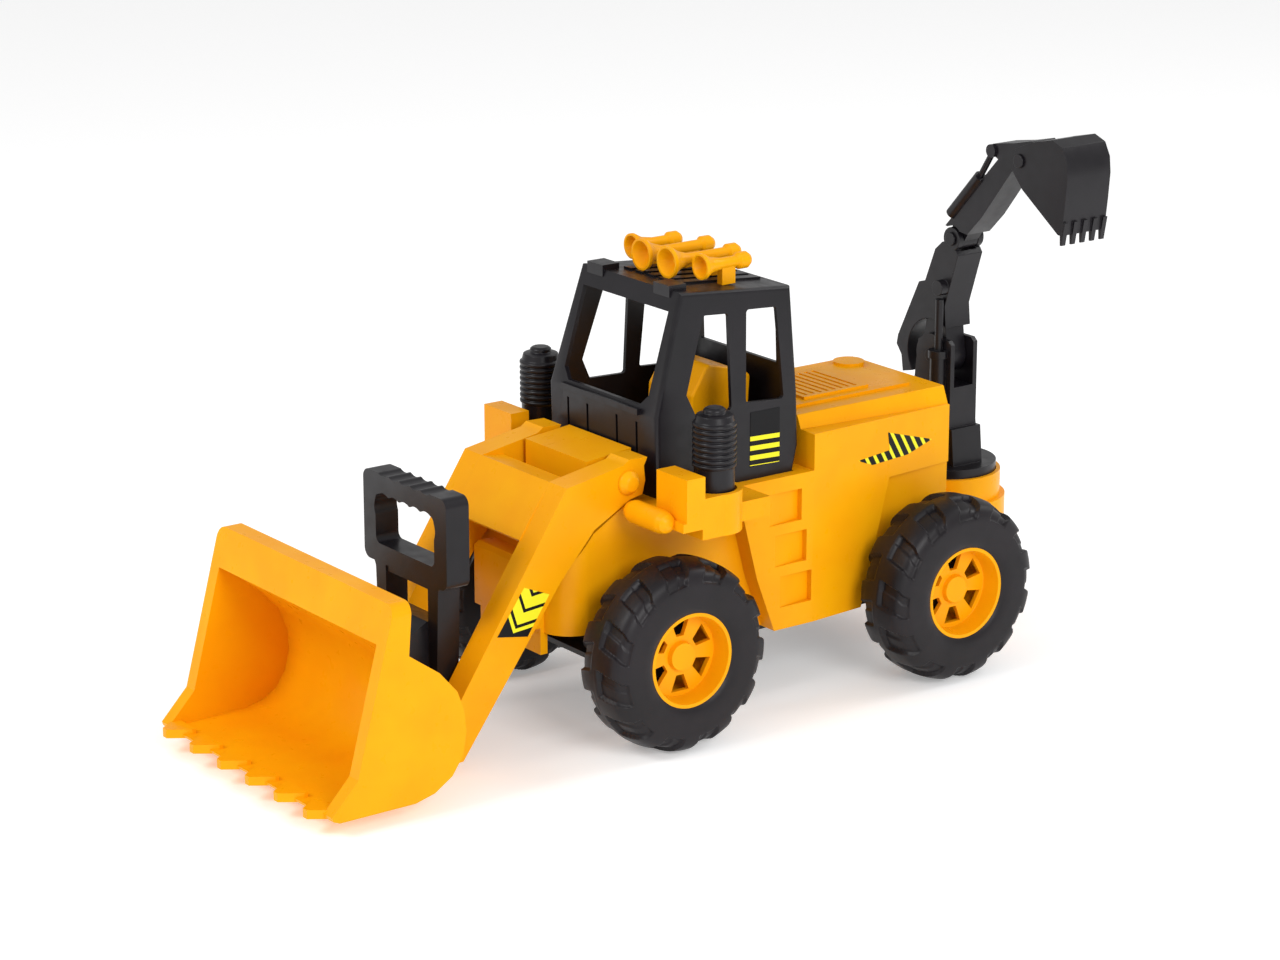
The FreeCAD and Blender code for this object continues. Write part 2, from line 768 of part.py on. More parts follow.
def make_fender():
    """Left fender: deck over the tyre, block, lamp bar and the collar of the stack."""
    block_rear = "(block_front + block_depth)"
    deck = box("fender_deck", ("fender_inner", "stack_x"), (block_rear, "fender_rear"),
               (FENDER_LOW, "deck_top"))
    block = box("fender_block", ("block_inner", "block_outer"), ("block_front", block_rear),
                ("block_low", "block_top"))
    bridge = box("fender_bridge", ("fender_inner", "block_outer"), ("deck_front", block_rear),
                 ("block_low", "deck_top"))
    collar = cylinder("fender_collar", "Z", "collar_radius", FENDER_LOW, "collar_top",
                      ("stack_x", "stack_y", "0"))
    filler = box("fender_filler", ("stack_x - collar_radius", "stack_x + collar_radius - 1"),
                 (block_rear + " - 2", "stack_y"), (FENDER_LOW, "collar_top"))
    bar = turned("lamp_bar", "XZ", "H_Axis", [
        ("tip_in", "lamp_inner - lamp_radius", "0"),
        ("round_in_low", "lamp_inner - lamp_radius * 0.9", "lamp_radius * 0.43"),
        ("round_in_high", "lamp_inner - lamp_radius * 0.6", "lamp_radius * 0.8"),
        ("side_in", "lamp_inner", "lamp_radius"),
        ("side_out", "lamp_outer", "lamp_radius"),
        ("round_out_high", "lamp_outer + lamp_radius * 0.6", "lamp_radius * 0.8"),
        ("round_out_low", "lamp_outer + lamp_radius * 0.9", "lamp_radius * 0.43"),
        ("tip_out", "lamp_outer + lamp_radius", "0"),
    ], ("0", "lamp_y", "lamp_z"))
    solid = fuse("fender_solid", deck, block, bridge, collar, filler, bar)
    seat = cylinder("stack_pocket", "Z", "stack_ring_radius + side_gap", "stack_seat",
                    "block_top", ("stack_x", "stack_y", "0"))
    return cut("fender_left_part", solid, seat, *fender_hollow())


def make_tail():
    post = "(wheelbase + rear_reach - hood_wall)"
    return [
        box("tail_arm", ("-tail_half", "tail_half"), (post, Y_SWING), ("tail_low", "tail_seat")),
        cylinder("tail_lower", "Z", "tail_radius", "tail_low", "tail_mid", ("0", Y_SWING, "0")),
        cylinder("tail_upper", "Z", "tail_rim_radius", "tail_low", "tail_rim_top",
                 ("0", Y_SWING, "0")),
    ]


def body_hollows():
    """Everything that is taken out of the solid body, from below and from the sides."""
    inner = "(core_half - wall)"
    shelf = "(deck_top - hood_wall)"
    back = f"({Y_REAR_HOOD} - hood_wall)"
    hollows = [
        hollow_nose(inner, shelf),
        box("hollow_belly", (f"-{inner}", inner), ("belly_front", back),
            ("belly - 10", "nose_high + 8")),
        box("hollow_deck", (f"-{inner}", inner), ("deck_front + 4", back), ("nose_high", shelf)),
        box("hollow_bonnet", ("-grille_half + wall", "grille_half - wall"),
            ("bonnet_front + wall", "cab_waist_y - 1.6 - wall"),
            ("nose_high", "bonnet_top_front - wall - 1")),
        box("hollow_hood", ("-hood_top_half + wall", "hood_top_half - wall"),
            ("shoulder_y + wall", back), (shelf + " - 1", "hood_top - hood_wall")),
        hollow_sides(),
        cylinder("hollow_turntable", "Z", "turntable_radius + side_gap", "tail_seat",
                 "turntable_top", ("0", Y_SWING, "0")),
        tail_hollow(),
        cylinder("swing_bore", "Z", "swing_pin_radius", "tail_low - 5", "turntable_top",
                 ("0", Y_SWING, "0")),
        cylinder("arm_bore", "X", "arm_pin_radius + running_gap", "-core_half", "core_half",
                 ARM_PIVOT),
    ]
    for end, y in (("front", "0"), ("rear", "wheelbase")):
        slot = "(axle_tube_radius + 1)"
        hollows.append(box(f"axle_slot_{end}", ("-panel_half", "panel_half"),
                           (f"{y} - {slot}", f"{y} + {slot}"), ("belly - 10", f"tyre_radius + {slot}")))
    return hollows


def hollow_nose(inner, shelf):
    """The inside of the nose, with the same wall round its two upright corners."""
    profile = prism("hollow_nose_profile", "YZ", [
        ("front_low", "nose_front + wall", "apron_low - 20"),
        ("front_high", "nose_front + wall", "nose_high - wall"),
        ("slope", "nose_slope_y + wall / 2", "nose_slope_z - hood_wall"),
        ("deck", "deck_front + 5", shelf),
        ("back_low", "deck_front + 5", "apron_low - 20"),
    ], f"-{inner}", inner)
    plan = prism("hollow_nose_plan", "XY", [
        ("front_right", f"-{inner}", "nose_front + wall"),
        ("front_left", inner, "nose_front + wall"),
        ("rear_left", inner, "deck_front + 6"),
        ("rear_right", f"-{inner}", "deck_front + 6"),
    ], "apron_low - 21", "deck_top", rounds=[("nose_corner - wall", ("front_left", "front_right"))])
    return common("hollow_nose", profile, plan)


def tail_hollow():
    """The tail bracket is open below, around the boss that holds the swing pin."""
    low = "tail_low - 1"
    roof = "tail_seat - hood_wall"
    room = fuse(
        "tail_room",
        cylinder("tail_room_low", "Z", "tail_radius - wall", low, "tail_mid - wall",
                 ("0", Y_SWING, "0")),
        cylinder("tail_room_high", "Z", "tail_rim_radius - wall", low, roof, ("0", Y_SWING, "0")),
        box("tail_room_arm", ("wall - tail_half", "tail_half - wall"), (Y_REAR_HOOD, Y_SWING),
            (low, roof)))
    boss = cylinder("tail_boss", "Z", "swing_pin_radius + wall", "tail_low - 2", "tail_seat",
                    ("0", Y_SWING, "0"))
    return cut("tail_hollow", room, boss)


def hollow_sides():
    """The inside of the wide body, from its side panels back over the rear wheels."""
    back = f"({Y_REAR_HOOD} - hood_wall)"
    roof = f"({ARCH_TOP} + wall)"
    inside = prism("hollow_side_profile", "YZ", [
        ("top_front", "panel_top_y + wall", "deck_top - hood_wall"),
        ("mid_front", "panel_mid_y + wall", "panel_mid_z"),
        ("low_front", "panel_low_y + wall", "panel_low_z"),
        ("foot", "panel_foot_y + wall", "panel_foot_z - 1"),
        ("heel", "wheelbase + panel_heel_reach - wall", "panel_foot_z - 1"),
        ("arch_front", "wheelbase + arch_reach - wall", roof),
        ("arch_rear", back, roof),
        ("rear_top", back, "shoulder_rear_top - hood_wall"),
        ("shoulder_top", "shoulder_y + wall", "shoulder_rear_top - hood_wall"),
        ("shoulder_foot", "shoulder_y + wall", "deck_top - hood_wall"),
    ], "-panel_half - 1", "panel_half + 1")
    return common("hollow_wide_body", inside, body_plan("hollow_wide_plan", "-step_depth - wall"))


def fender_hollow():
    """The underside of the left fender is open; its walls are as thick as the body's."""
    low, block_rear = f"({FENDER_LOW} - 1)", "(block_front + block_depth)"
    return [
        box("hollow_fender_deck", ("panel_half", "stack_x - collar_radius"),
            (block_rear, "fender_rear - wall"), (low, "deck_top - wall")),
        box("hollow_fender_block", ("block_inner + wall", "block_outer - wall"),
            ("block_front + wall", block_rear + " - wall"), ("block_low - 1", "block_top - wall")),
        cylinder("hollow_fender_collar", "Z", "collar_radius - wall", low, "stack_seat - wall",
                 ("stack_x", "stack_y", "0")),
    ]


def step_pockets():
    """Three foot steps in each side panel, each deepening towards the rear."""
    pockets = []
    for side, sign in (("left", ""), ("right", "-")):
        face, out = f"{sign}(panel_half - 0.6)", f"{sign}(panel_half + 2)"
        floor_x = f"{sign}(panel_half - step_depth)"
        for number in range(3):
            floor = f"step_low + {number} * step_pitch"
            rear = f"step_rear - {number} * step_lean"
            pockets.append(prism(f"step_{side}{number}", "XY", [
                ("front_in", face, f"step_front - {number} * step_lean"),
                ("front_out", out, f"step_front - {number} * step_lean"),
                ("rear_out", out, rear),
                ("rear_in", floor_x, rear),
            ], floor, floor + " + step_height"))
    return pockets


def make_body():
    fender = make_fender()
    shapes = [make_core(), make_wide_body(), fender, mirror("fender_right_part", fender)]
    shapes += make_nose() + make_hood_top() + make_tail()
    shell = cut("body_hollowed", fuse("body_solid", *shapes), *body_hollows(), *step_pockets())
    posts = []
    for number, (x, y) in enumerate(screw_spots()):
        posts.append(cylinder(f"screw_post{number}", "Z", "post_radius",
                              "tray_bottom + tray_thickness", "nose_slope_z + 8.5"
                              if "post_front" in y else "hood_top - 2", (x, y, "0")))
    holes = [cylinder(f"screw_hole{number}", "Z", "screw_radius", "tray_bottom",
                      "tray_bottom + screw_depth", (x, y, "0"))
             for number, (x, y) in enumerate(screw_spots())]
    finish("body_shell", cut("body", fuse("body_with_posts", shell, *posts), *holes))


# ------------------------------------------------------------------- cab and roof
def cab_profile(name, inset, half):
    """Side profile of the cab, shrunk by inset, and open below when inset is used."""
    points = [
        ("front_low", f"cab_front_low + {inset}", f"cab_base - 3 * {inset}"),
        ("waist", f"cab_waist_y + {inset}", "cab_waist_z"),
        ("roof_front", f"cab_roof_front + {inset} * 0.9", f"cab_roof_front_z - {inset}"),
        ("roof_rear", f"cab_roof_rear - {inset}", f"cab_roof_rear_z - {inset}"),
        ("bulge", f"cab_bulge_y - {inset}", "cab_bulge_z"),
        ("rear_low", f"cab_rear_low - {inset}", f"cab_base - 3 * {inset}"),
    ]
    return prism(name, "YZ", points, f"-({half})", half)


def cab_section(name, inset):
    """Front view of the cab: upright to the waist, then leaning in to the roof."""
    points = [
        ("low_right", f"-cab_half + {inset}", "cab_base - 20"),
        ("waist_right", f"-cab_half + {inset}", "cab_waist_z"),
        ("roof_right", f"-cab_roof_half + {inset}", "cab_roof_front_z + 1"),
        ("roof_left", f"cab_roof_half - {inset}", "cab_roof_front_z + 1"),
        ("waist_left", f"cab_half - {inset}", "cab_waist_z"),
        ("low_left", f"cab_half - {inset}", "cab_base - 20"),
    ]
    return prism(name, "XZ", points, "0", "cab_bulge_y + 10")


def cab_windows():
    screen = prism("windscreen", "XZ", [
        ("low_right", "-screen_half + screen_chamfer", "screen_low"),
        ("low_left", "screen_half - screen_chamfer", "screen_low"),
        ("side_left", "screen_half", "screen_low + screen_chamfer"),
        ("top_left", "screen_half", "screen_high"),
        ("top_right", "-screen_half", "screen_high"),
        ("side_right", "-screen_half", "screen_low + screen_chamfer"),
    ], "0", "cab_roof_front + 5")
    front = prism("front_window", "YZ", [
        ("top_front", 57.7, 298.7),
        ("top_rear", 79.7, 297),
        ("low_rear", 79.8, 227),
        ("low_front", 47.5, 228),
        ("mid_front", 40, 243.7),
    ], "-cab_half - 5", "cab_half + 5", rounds=[("2.5", ("top_front", "top_rear", "low_rear"))])
    rear = prism("rear_window", "YZ", [
        ("top_front", 96.2, 297.5),
        ("top_rear", 123.3, 295.8),
        ("low_rear", 127.5, 228),
        ("low_front", 92.8, 229.9),
    ], "-cab_half - 5", "cab_half + 5",
        rounds=[("2.5", ("top_front", "top_rear", "low_rear", "low_front"))])
    back = box("back_window", ("-back_window_half", "back_window_half"),
               ("cab_roof_rear - 8", "cab_bulge_y + 5"), ("back_window_low", "back_window_high"))
    return [screen, front, rear, back]


def roof_details():
    """Two blocks at the roof's front edge and a row of ribs down its middle."""
    slope = "(cab_roof_front_z - cab_roof_rear_z) / (cab_roof_rear - cab_roof_front)"
    details = []
    for side, low, high in (("left", "roof_block_inner", "roof_block_outer"),
                            ("right", "-roof_block_outer", "-roof_block_inner")):
        details.append(box(f"roof_block_{side}", (low, high),
                           ("cab_roof_front - 2", "cab_roof_front + roof_block_depth"),
                           ("cab_roof_front_z - 5", "cab_roof_front_z + roof_block_rise")))
    for number in range(5):
        middle = f"({number} - (roof_rib_count - 1) / 2) * roof_rib_pitch"
        details.append(prism(f"roof_rib{number}", "YZ", [
            ("front_low", "roof_rib_front", f"cab_roof_front_z - 4"),
            ("front_high", "roof_rib_front",
             f"cab_roof_front_z - (roof_rib_front - cab_roof_front) * {slope} + roof_rib_rise"),
            ("rear_high", "roof_rib_rear",
             f"cab_roof_front_z - (roof_rib_rear - cab_roof_front) * {slope} + roof_rib_rise"),
            ("rear_low", "roof_rib_rear", "cab_roof_rear_z - 2"),
        ], f"{middle} - roof_rib_half", f"{middle} + roof_rib_half"))
    return details


def panel_grooves():
    """Two pairs of upright grooves in the panel under the windscreen."""
    grooves = []
    for number, sign in enumerate(("-", "")):
        for place, x in (("in", "panel_groove_x"), ("out", "panel_groove_x + panel_groove_spread")):
            middle = f"{sign}({x})"
            grooves.append(box(f"groove_{place}{number}",
                               (f"{middle} - panel_groove_width / 2",
                                f"{middle} + panel_groove_width / 2"),
                               ("0", "cab_front_low + panel_groove_depth"),
                               ("panel_groove_low", "panel_groove_high")))
    return grooves


def make_cab():
    outer = common("cab_outer", cab_profile("cab_side", "0", "cab_half + 1"),
                   cab_section("cab_front", "0"))
    inner = common("cab_inner", cab_profile("cab_side_in", "cab_wall", "cab_half"),
                   cab_section("cab_front_in", "cab_wall"))
    solid = fuse("cab_with_roof", outer, *roof_details())
    ledge = box("screen_ledge", ("-ledge_half", "ledge_half"),
                ("cab_waist_y - ledge_reach", "cab_waist_y + 3"),
                ("cab_waist_z - 1", "cab_waist_z + ledge_rise"))
    shell = cut("cab_shell", solid, inner, *cab_windows(), *panel_grooves())
    finish("cab", fuse("cab_with_ledge", shell, ledge))


def make_seat():
    """Driver's seat: a moulding open below, standing on the deck."""
    seat = prism("seat_block", "YZ", [
        ("front_low", 60, "deck_top"),
        ("front_high", 55, 208),
        ("cushion_rear", 73, 212),
        ("back_low", 74, 229),
        ("back_front", 88, 251),
        ("back_rear", 109, 246),
        ("tail_high", 128, 238),
        ("rear_low", 124, "deck_top"),
    ], "-seat_half", "seat_half",
        rounds=[("4", ("front_high", "back_low", "back_front", "back_rear", "tail_high"))])
    hollow = prism("seat_hollow", "YZ", [
        ("front_low", 63, "deck_top - 1"),
        ("front_high", 59, 204),
        ("cushion_rear", 77, 208),
        ("back_low", 78, 227),
        ("back_front", 90, 246),
        ("back_rear", 108, 242),
        ("tail_high", 124, 235),
        ("rear_low", 120.5, "deck_top - 1"),
    ], "-seat_half + wall", "seat_half - wall")
    finish("driver_seat", cut("seat", seat, hollow))


def make_horns():
    """Four trumpet horns on the roof, the inner pair longer than the outer pair."""
    slope = "(cab_roof_front_z - cab_roof_rear_z) / (cab_roof_rear - cab_roof_front)"
    for row in ("inner", "outer"):
        bell, length, tube = f"horn_{row}_bell", f"horn_{row}_length", "horn_tube_radius"
        for side, sign in (("left", ""), ("right", "-")):
            name = f"horn_{row}_{side}"
            points = [
                ("axis_front", "0", "6"),
                ("throat", "horn_tube_radius - 1", "9"),
                ("mouth", bell + " - 1.6", "0"),
                ("rim", bell, "0"),
                ("rim_back", bell, "2.4"),
                ("flare", bell + " * 0.62", "9"),
                ("neck", tube, "19"),
                ("tube_end", tube, length + " - 12"),
                ("bulb", tube + " + 2", length + " - 10"),
                ("bulb_end", tube + " + 2", length + " - 3"),
                ("tail", tube, length),
                ("axis_rear", "0", length),
            ]
            at = (f"{sign}horn_{row}_x", f"horn_{row}_y", "horn_axis_z")
            horn = turned(name + "_trumpet", "XY", "V_Axis", points, at)
            front = f"(horn_{row}_y + {length} - horn_foot_back - horn_foot_length)"
            roof = f"(cab_roof_front_z - ({front} - cab_roof_front) * {slope})"
            rise = "roof_rib_rise" if row == "inner" else "0"
            foot = box(name + "_foot",
                       (f"{at[0]} - horn_foot_half", f"{at[0]} + horn_foot_half"),
                       (front, front + " + horn_foot_length"), (f"{roof} + {rise}", "horn_axis_z"))
            finish(name, fuse(name + "_piece", horn, foot))


def make_stacks():
    """Ribbed air cleaners standing in the fender collars."""
    points = [
        ("foot_axis", "0", "stack_seat"),
        ("foot", "stack_radius", "stack_seat"),
        ("neck", "stack_radius", "stack_ring_start"),
    ]
    for ring in range(8):
        low = f"stack_ring_start + {ring} * stack_ring_pitch"
        points += [
            (f"ring{ring}_low", "stack_ring_radius", low + " + 0.7"),
            (f"ring{ring}_high", "stack_ring_radius", low + " + stack_ring_pitch - 1.7"),
            (f"ring{ring}_dip", "stack_ring_radius - 1.6", low + " + stack_ring_pitch - 0.8"),
        ]
    top = "(stack_ring_start + stack_ring_count * stack_ring_pitch)"
    points += [
        ("dome_edge", "stack_dome_radius", f"{top} + stack_dome_height"),
        ("cap_root", "stack_cap_radius", f"{top} + stack_dome_height + 1"),
        ("cap_edge", "stack_cap_radius", f"{top} + stack_dome_height + stack_cap_height - 1.5"),
        ("cap_top", "stack_cap_radius - 2", f"{top} + stack_dome_height + stack_cap_height"),
        ("top_axis", "0", f"{top} + stack_dome_height + stack_cap_height"),
    ]
    for side, sign in (("left", ""), ("right", "-")):
        at = (sign + "stack_x", "stack_y", "0")
        finish("air_cleaner_" + side,
               turned("stack_" + side, "XZ", "V_Axis", points_for(side, points), at))


def points_for(side, points):
    """Label the same outline for one side, so that its cells stay apart."""
    return [(f"{side}_{label}", along, up) for label, along, up in points]


# -------------------------------------------------------------------- loader arms
ARM_OUTLINE = [
    ("heel", -142.4, -178), ("toe_low", -159.4, -179), ("toe_front", -165.4, -174),
    ("toe_top", -163.4, -162), ("bend", -53, 4.7), ("rise", -4, 13), ("tab_front", 1, 16.5),
    ("tab_rear", 17, 16), ("tab_foot", 14, 10), ("rear", 15.1, -1), ("rear_low", 12.6, -10.7),
    ("under", 1.3, -13), ("knee", -29.4, -29.9), ("thigh", -58.7, -62.8),
]
ARM_HOLLOW = [
    ("low_front", -133.5, -128), ("bend", -50.8, 0.8), ("rear_top", -13, 7.5),
    ("rear_low", -13, -40), ("middle", -60, -90), ("low_rear", -90, -128),
]
CROSS_PLATE = [
    ("ridge_front", -53, 4.7), ("ridge_rear", -34, 2), ("ridge_foot", -35, -3),
    ("plate_top", -49, -3.5), ("plate_low", -76, -36), ("plate_edge", -79.2, -33.1),
]


def make_arms():
    arm = prism("arm_side", "YZ", ARM_OUTLINE, "arm_inner", "arm_outer", ARM_PIVOT)
    hollow = prism("arm_hollow", "YZ", ARM_HOLLOW, "arm_inner + arm_wall",
                   "arm_outer - arm_wall", ARM_PIVOT)
    left = cut("arm_left", arm, hollow)
    plate = prism("arm_plate", "YZ", CROSS_PLATE, "-arm_inner - 1", "arm_inner + 1", ARM_PIVOT)
    solid = fuse("arms_solid", left, mirror("arm_right", left), plate)
    bores = [cylinder("arm_pin_hole", "X", "arm_pin_radius", "-arm_outer", "arm_outer", ARM_PIVOT)]
    reach = "bucket_pin_end + 1"
    for side, low, high in (("left", "arm_inner - 1", reach),
                            ("right", f"-({reach})", "-arm_inner + 1")):
        bores.append(cylinder(f"bucket_pin_hole_{side}", "X", "bucket_pin_radius + running_gap",
                              low, high, BUCKET_PIVOT))
    finish("loader_arms", cut("arms", solid, *bores))


def make_arm_pins():
    points = [
        ("inner_axis", "arm_pin_inner", "0"),
        ("inner_edge", "arm_pin_inner", "arm_pin_radius"),
        ("head_foot", "arm_outer", "arm_pin_radius"),
        ("head_edge", "arm_outer", "arm_pin_head_radius"),
        ("head_side", "arm_outer + arm_pin_head_height * 0.3", "arm_pin_head_radius * 0.95"),
        ("head_round", "arm_outer + arm_pin_head_height * 0.8", "arm_pin_head_radius * 0.6"),
        ("head_axis", "arm_outer + arm_pin_head_height", "0"),
    ]
    finish_pair("arm_pin", turned("arm_pin", "XZ", "H_Axis", points, ARM_PIVOT))


# ------------------------------------------------------------------ loader bucket
BUCKET_OUTER = [
    ("lip_front", -80, "lip_top"), ("lip_rear", -66, "lip_top"), ("lip_foot", -69, 94), ("ridge", -45, 77),
    ("back_high", -31, 61), ("back_mid", -25.5, 46), ("back_low", -24, 31), ("heel_high", -27, 14),
    ("heel", -36, 1), ("heel_low", -50, -8), ("floor_rear", -66, -12), ("floor_front", -126, -12),
    ("flare_low", -131, -10), ("flare_tip", -132, -7), ("flare_top", -111, 15),
]
BUCKET_INNER = [
    ("mouth_top", -100, 103), ("lip_inside", -84, 103), ("roof", -54, 78), ("upper", -39, 62),
    ("back_high", -33, 46), ("back_low", -32, 30), ("corner_high", -36, 15), ("corner", -44, 3),
    ("corner_low", -56, -4), ("floor_rear", -70, -7), ("floor_front", -126, -8),
    ("mouth_low", -140, -8),
]
BUCKET_EAR = [
    ("back_high", -27, 24), ("top", -4, 10), ("round_high", 7, 7), ("round", 10, 0),
    ("round_low", 7, -7), ("low", -2, -11), ("back_low", -36, -1),
]


def make_bucket():
    outer = prism("bucket_outer", "YZ", BUCKET_OUTER, "-bucket_half", "bucket_half", BUCKET_PIVOT)
    inner = prism("bucket_inner", "YZ", BUCKET_INNER, "-bucket_inner_half",
                  "bucket_inner_half", BUCKET_PIVOT)
    shapes = [cut("bucket_shell", outer, inner)]
    for number in range(6):
        middle = f"({number} - (tooth_count - 1) / 2) * tooth_pitch"
        shapes.append(prism(f"tooth{number}", "XY", [
            ("root_right", f"{middle} - tooth_root_half", "tooth_root_y + 3"),
            ("root_left", f"{middle} + tooth_root_half", "tooth_root_y + 3"),
            ("side_left", f"{middle} + tooth_root_half", "tooth_root_y"),
            ("tip_left", f"{middle} + tooth_tip_half", "tooth_tip_y"),
            ("tip_right", f"{middle} - tooth_tip_half", "tooth_tip_y"),
            ("side_right", f"{middle} - tooth_root_half", "tooth_root_y"),
        ], "tooth_bottom", "tooth_top", BUCKET_PIVOT))
    ear = prism("bucket_ear", "YZ", BUCKET_EAR, "bucket_ear_inner", "arm_inner - side_gap",
                BUCKET_PIVOT)
    shapes += [ear, mirror("bucket_ear_right", ear)]
    bores = [cylinder("ear_bore", "X", "bucket_pin_radius", "-arm_inner", "arm_inner", BUCKET_PIVOT)]
    bores += handle_bolt_bars("bucket_bolt_hole", "handle_bolt_radius") + lip_corners()
    finish("loader_bucket", cut("bucket", fuse("bucket_solid", *shapes), *bores))


def lip_corners():
    """What is taken off to round the two upper corners of the bucket's lip."""
    front, back = "bucket_pivot_y - 90", "bucket_pivot_y - 60"
    middle_x, middle_z = "(bucket_half - lip_corner)", "(bucket_pivot_z + lip_top - lip_corner)"
    corners = []
    for side, sign, x in (("left", "", (middle_x, "bucket_half + 1")),
                          ("right", "-", ("-bucket_half - 1", f"-{middle_x}"))):
        block = box(f"lip_block_{side}", x, (front, back),
                    (middle_z, "bucket_pivot_z + lip_top + 1"))
        corners.append(cut(f"lip_corner_{side}", block, cylinder(
            f"lip_round_{side}", "Y", "lip_corner", front + " - 1", back + " + 1",
            (sign + middle_x, "0", middle_z))))
    return corners


def handle_bolt_bars(name, radius):
    """The two bolts that hold the handle's foot to the bucket's back, along Y."""
    start = "bucket_pivot_y - 28 - handle_bolt_reach"
    return [cylinder(f"{name}_{side}", "Y", radius, start, "bucket_pivot_y - 14",
                     (sign + "handle_bolt_x", "0", "handle_bolt_z"))
            for side, sign in (("left", ""), ("right", "-"))]


def make_bucket_pins():
    pin = cylinder("bucket_pin", "X", "bucket_pin_radius", "bucket_ear_inner", "bucket_pin_end",
                   BUCKET_PIVOT)
    finish_pair("bucket_pin", pin)


HANDLE_FOOT = [
    ("back_high", -31, 61), ("back_mid", -25.5, 46), ("back_low", -24, 31),
    ("under", 2, 30), ("rear_low", 21.5, 40), ("rear_high", 21.5, 76), ("front_high", 2.5, 80),
]


def make_handle():
    """Grip ring, two legs and the foot bolted to the bucket's back."""
    ring = prism("grip_ring", "XZ", [
        ("low_right", "-grip_half", "grip_bottom"),
        ("top_right", "-grip_half", "grip_top"),
        ("top_left", "grip_half", "grip_top"),
        ("low_left", "grip_half", "grip_bottom"),
    ], "grip_front", "grip_rear",
        rounds=[("grip_corner", ("low_right", "top_right", "top_left", "low_left"))])
    hole = prism("grip_hole", "XZ", [
        ("low_right", "-grip_opening_half", "grip_opening_low"),
        ("top_right", "-grip_opening_half", "grip_opening_high"),
        ("top_left", "grip_opening_half", "grip_opening_high"),
        ("low_left", "grip_opening_half", "grip_opening_low"),
    ], "grip_front - 1", "grip_rear + 1",
        rounds=[("grip_corner - 2", ("low_right", "top_right", "top_left", "low_left"))])
    leg = prism("grip_leg", "XZ", [
        ("foot_in", "leg_inner", "leg_foot"),
        ("foot_out", "leg_outer - 3", "leg_foot"),
        ("top_out", "leg_outer", "grip_bottom - 4"),
        ("joint_out", "leg_outer + 3", "grip_bottom + 2"),
        ("joint_in", "leg_inner", "grip_bottom + 2"),
    ], "grip_front + 1", "grip_rear")
    bar = box("grip_bar", ("-leg_outer", "leg_outer"), ("grip_front + 2", "grip_rear - 2"),
              ("grip_bottom - 5", "grip_bottom + 2"))
    foot = prism("handle_foot", "YZ", HANDLE_FOOT, "-foot_half", "foot_half", BUCKET_PIVOT)
    waves = []
    for number in range(5):
        x = f"({number} - (finger_count - 1) / 2) * finger_pitch"
        for side, z in (("top", "grip_top + finger_radius - finger_depth"),
                        ("under", "grip_opening_high - finger_radius + finger_depth")):
            waves.append(cylinder(f"finger_{side}{number}", "Y", "finger_radius",
                                  "grip_front - 1", "grip_rear + 1", (x, "0", z)))
    grip = cut("grip", ring, hole, *waves)
    solid = fuse("handle_solid", grip, leg, mirror("grip_leg_right", leg), bar, foot)
    finish("bucket_handle", cut("handle", solid, *handle_bolt_bars("foot_bolt_hole",
                                                                    "handle_bolt_radius")))


def make_handle_bolts():
    group = doc.addObject("Part::Compound", "bolt_group")
    group.Links = handle_bolt_bars("handle_bolt", "handle_bolt_radius")
    finish("handle_bolts", group)


# ------------------------------------------------------------------------- backhoe
def along_y(name, radius, half, x, z):
    """A round bar along Y, centred on the backhoe's middle plane."""
    return cylinder(name, "Y", radius, f"{Y_SWING} - ({half})", f"{Y_SWING} + ({half})",
                    (x, "0", z))


def plate(name, points, half):
    """A backhoe plate: an X-Z outline, equally thick each side of the middle plane."""
    return prism(name, "XZ", points, f"-({half})", half, ("0", Y_SWING, "0"))


def make_post():
    """Turntable, upright post with its fork, and the ram barrel on the post's face."""
    table = cylinder("turntable", "Z", "turntable_radius", "tail_seat + side_gap",
                     "turntable_top", ("0", Y_SWING, "0"))
    column = plate("post_column", [
        ("foot_in", -25, "turntable_top - 2"), ("foot_out", 22, "turntable_top - 2"),
        ("side", 17.6, 164), ("side_high", 17.4, 226), ("top_out", 14, 229),
        ("top_in", -13, 229), ("brow", -21, 224), ("side_in", -24, 198), ("wing_root", -25, 188),
        ("wing_high", -40, 188), ("wing_low", -40, 170), ("wing_foot", -25, 146),
    ], "post_half")
    eye = along_y("post_eye", "post_eye_radius", "post_half", "boom_pivot_x", "boom_pivot_z")
    face = f"({Y_SWING} - post_half - ram_proud)"
    barrel = cylinder("ram_barrel", "Z", "ram_radius", "ram_low", "ram_top", ("ram_x", face, "0"))
    ring = cylinder("ram_ring", "Z", "ram_ring_radius", "ram_top - ram_ring_height", "ram_top",
                    ("ram_x", face, "0"))
    rod = cylinder("ram_rod", "Z", "rod_radius", "ram_top - 1",
                   "rod_head_z - rod_head_radius - rod_top_gap",
                   ("ram_x", f"{Y_SWING} - boom_half - side_gap - rod_radius", "0"))
    base = plate("post_base", [
        ("low_in", -25, "turntable_top - 2"), ("low_out", 25, "turntable_top - 2"),
        ("high_out", 22, 160), ("high_in", -25, 160),
    ], "post_half + 1.2")
    solid = fuse("post_solid", table, column, eye, barrel, ring, rod, base)
    slot = plate("post_slot", [
        ("low_in", -40, 192), ("low_out", 40, 192), ("high_out", 40, 240), ("high_in", -40, 240),
    ], "post_slot_half")
    bores = [
        along_y("boom_pin_hole", "backhoe_pin_radius", "post_half + 1", "boom_pivot_x",
                "boom_pivot_z"),
        cylinder("swing_pin_hole", "Z", "swing_pin_radius + running_gap", "tail_seat",
                 "turntable_top - 2", ("0", Y_SWING, "0")),
    ]
    finish("backhoe_post", cut("post", solid, slot, *bores))


def make_swing_pin():
    finish("swing_pin", cylinder("swing_pin_bar", "Z", "swing_pin_radius", "tail_low",
                                 "turntable_top - 2.5", ("0", Y_SWING, "0")))


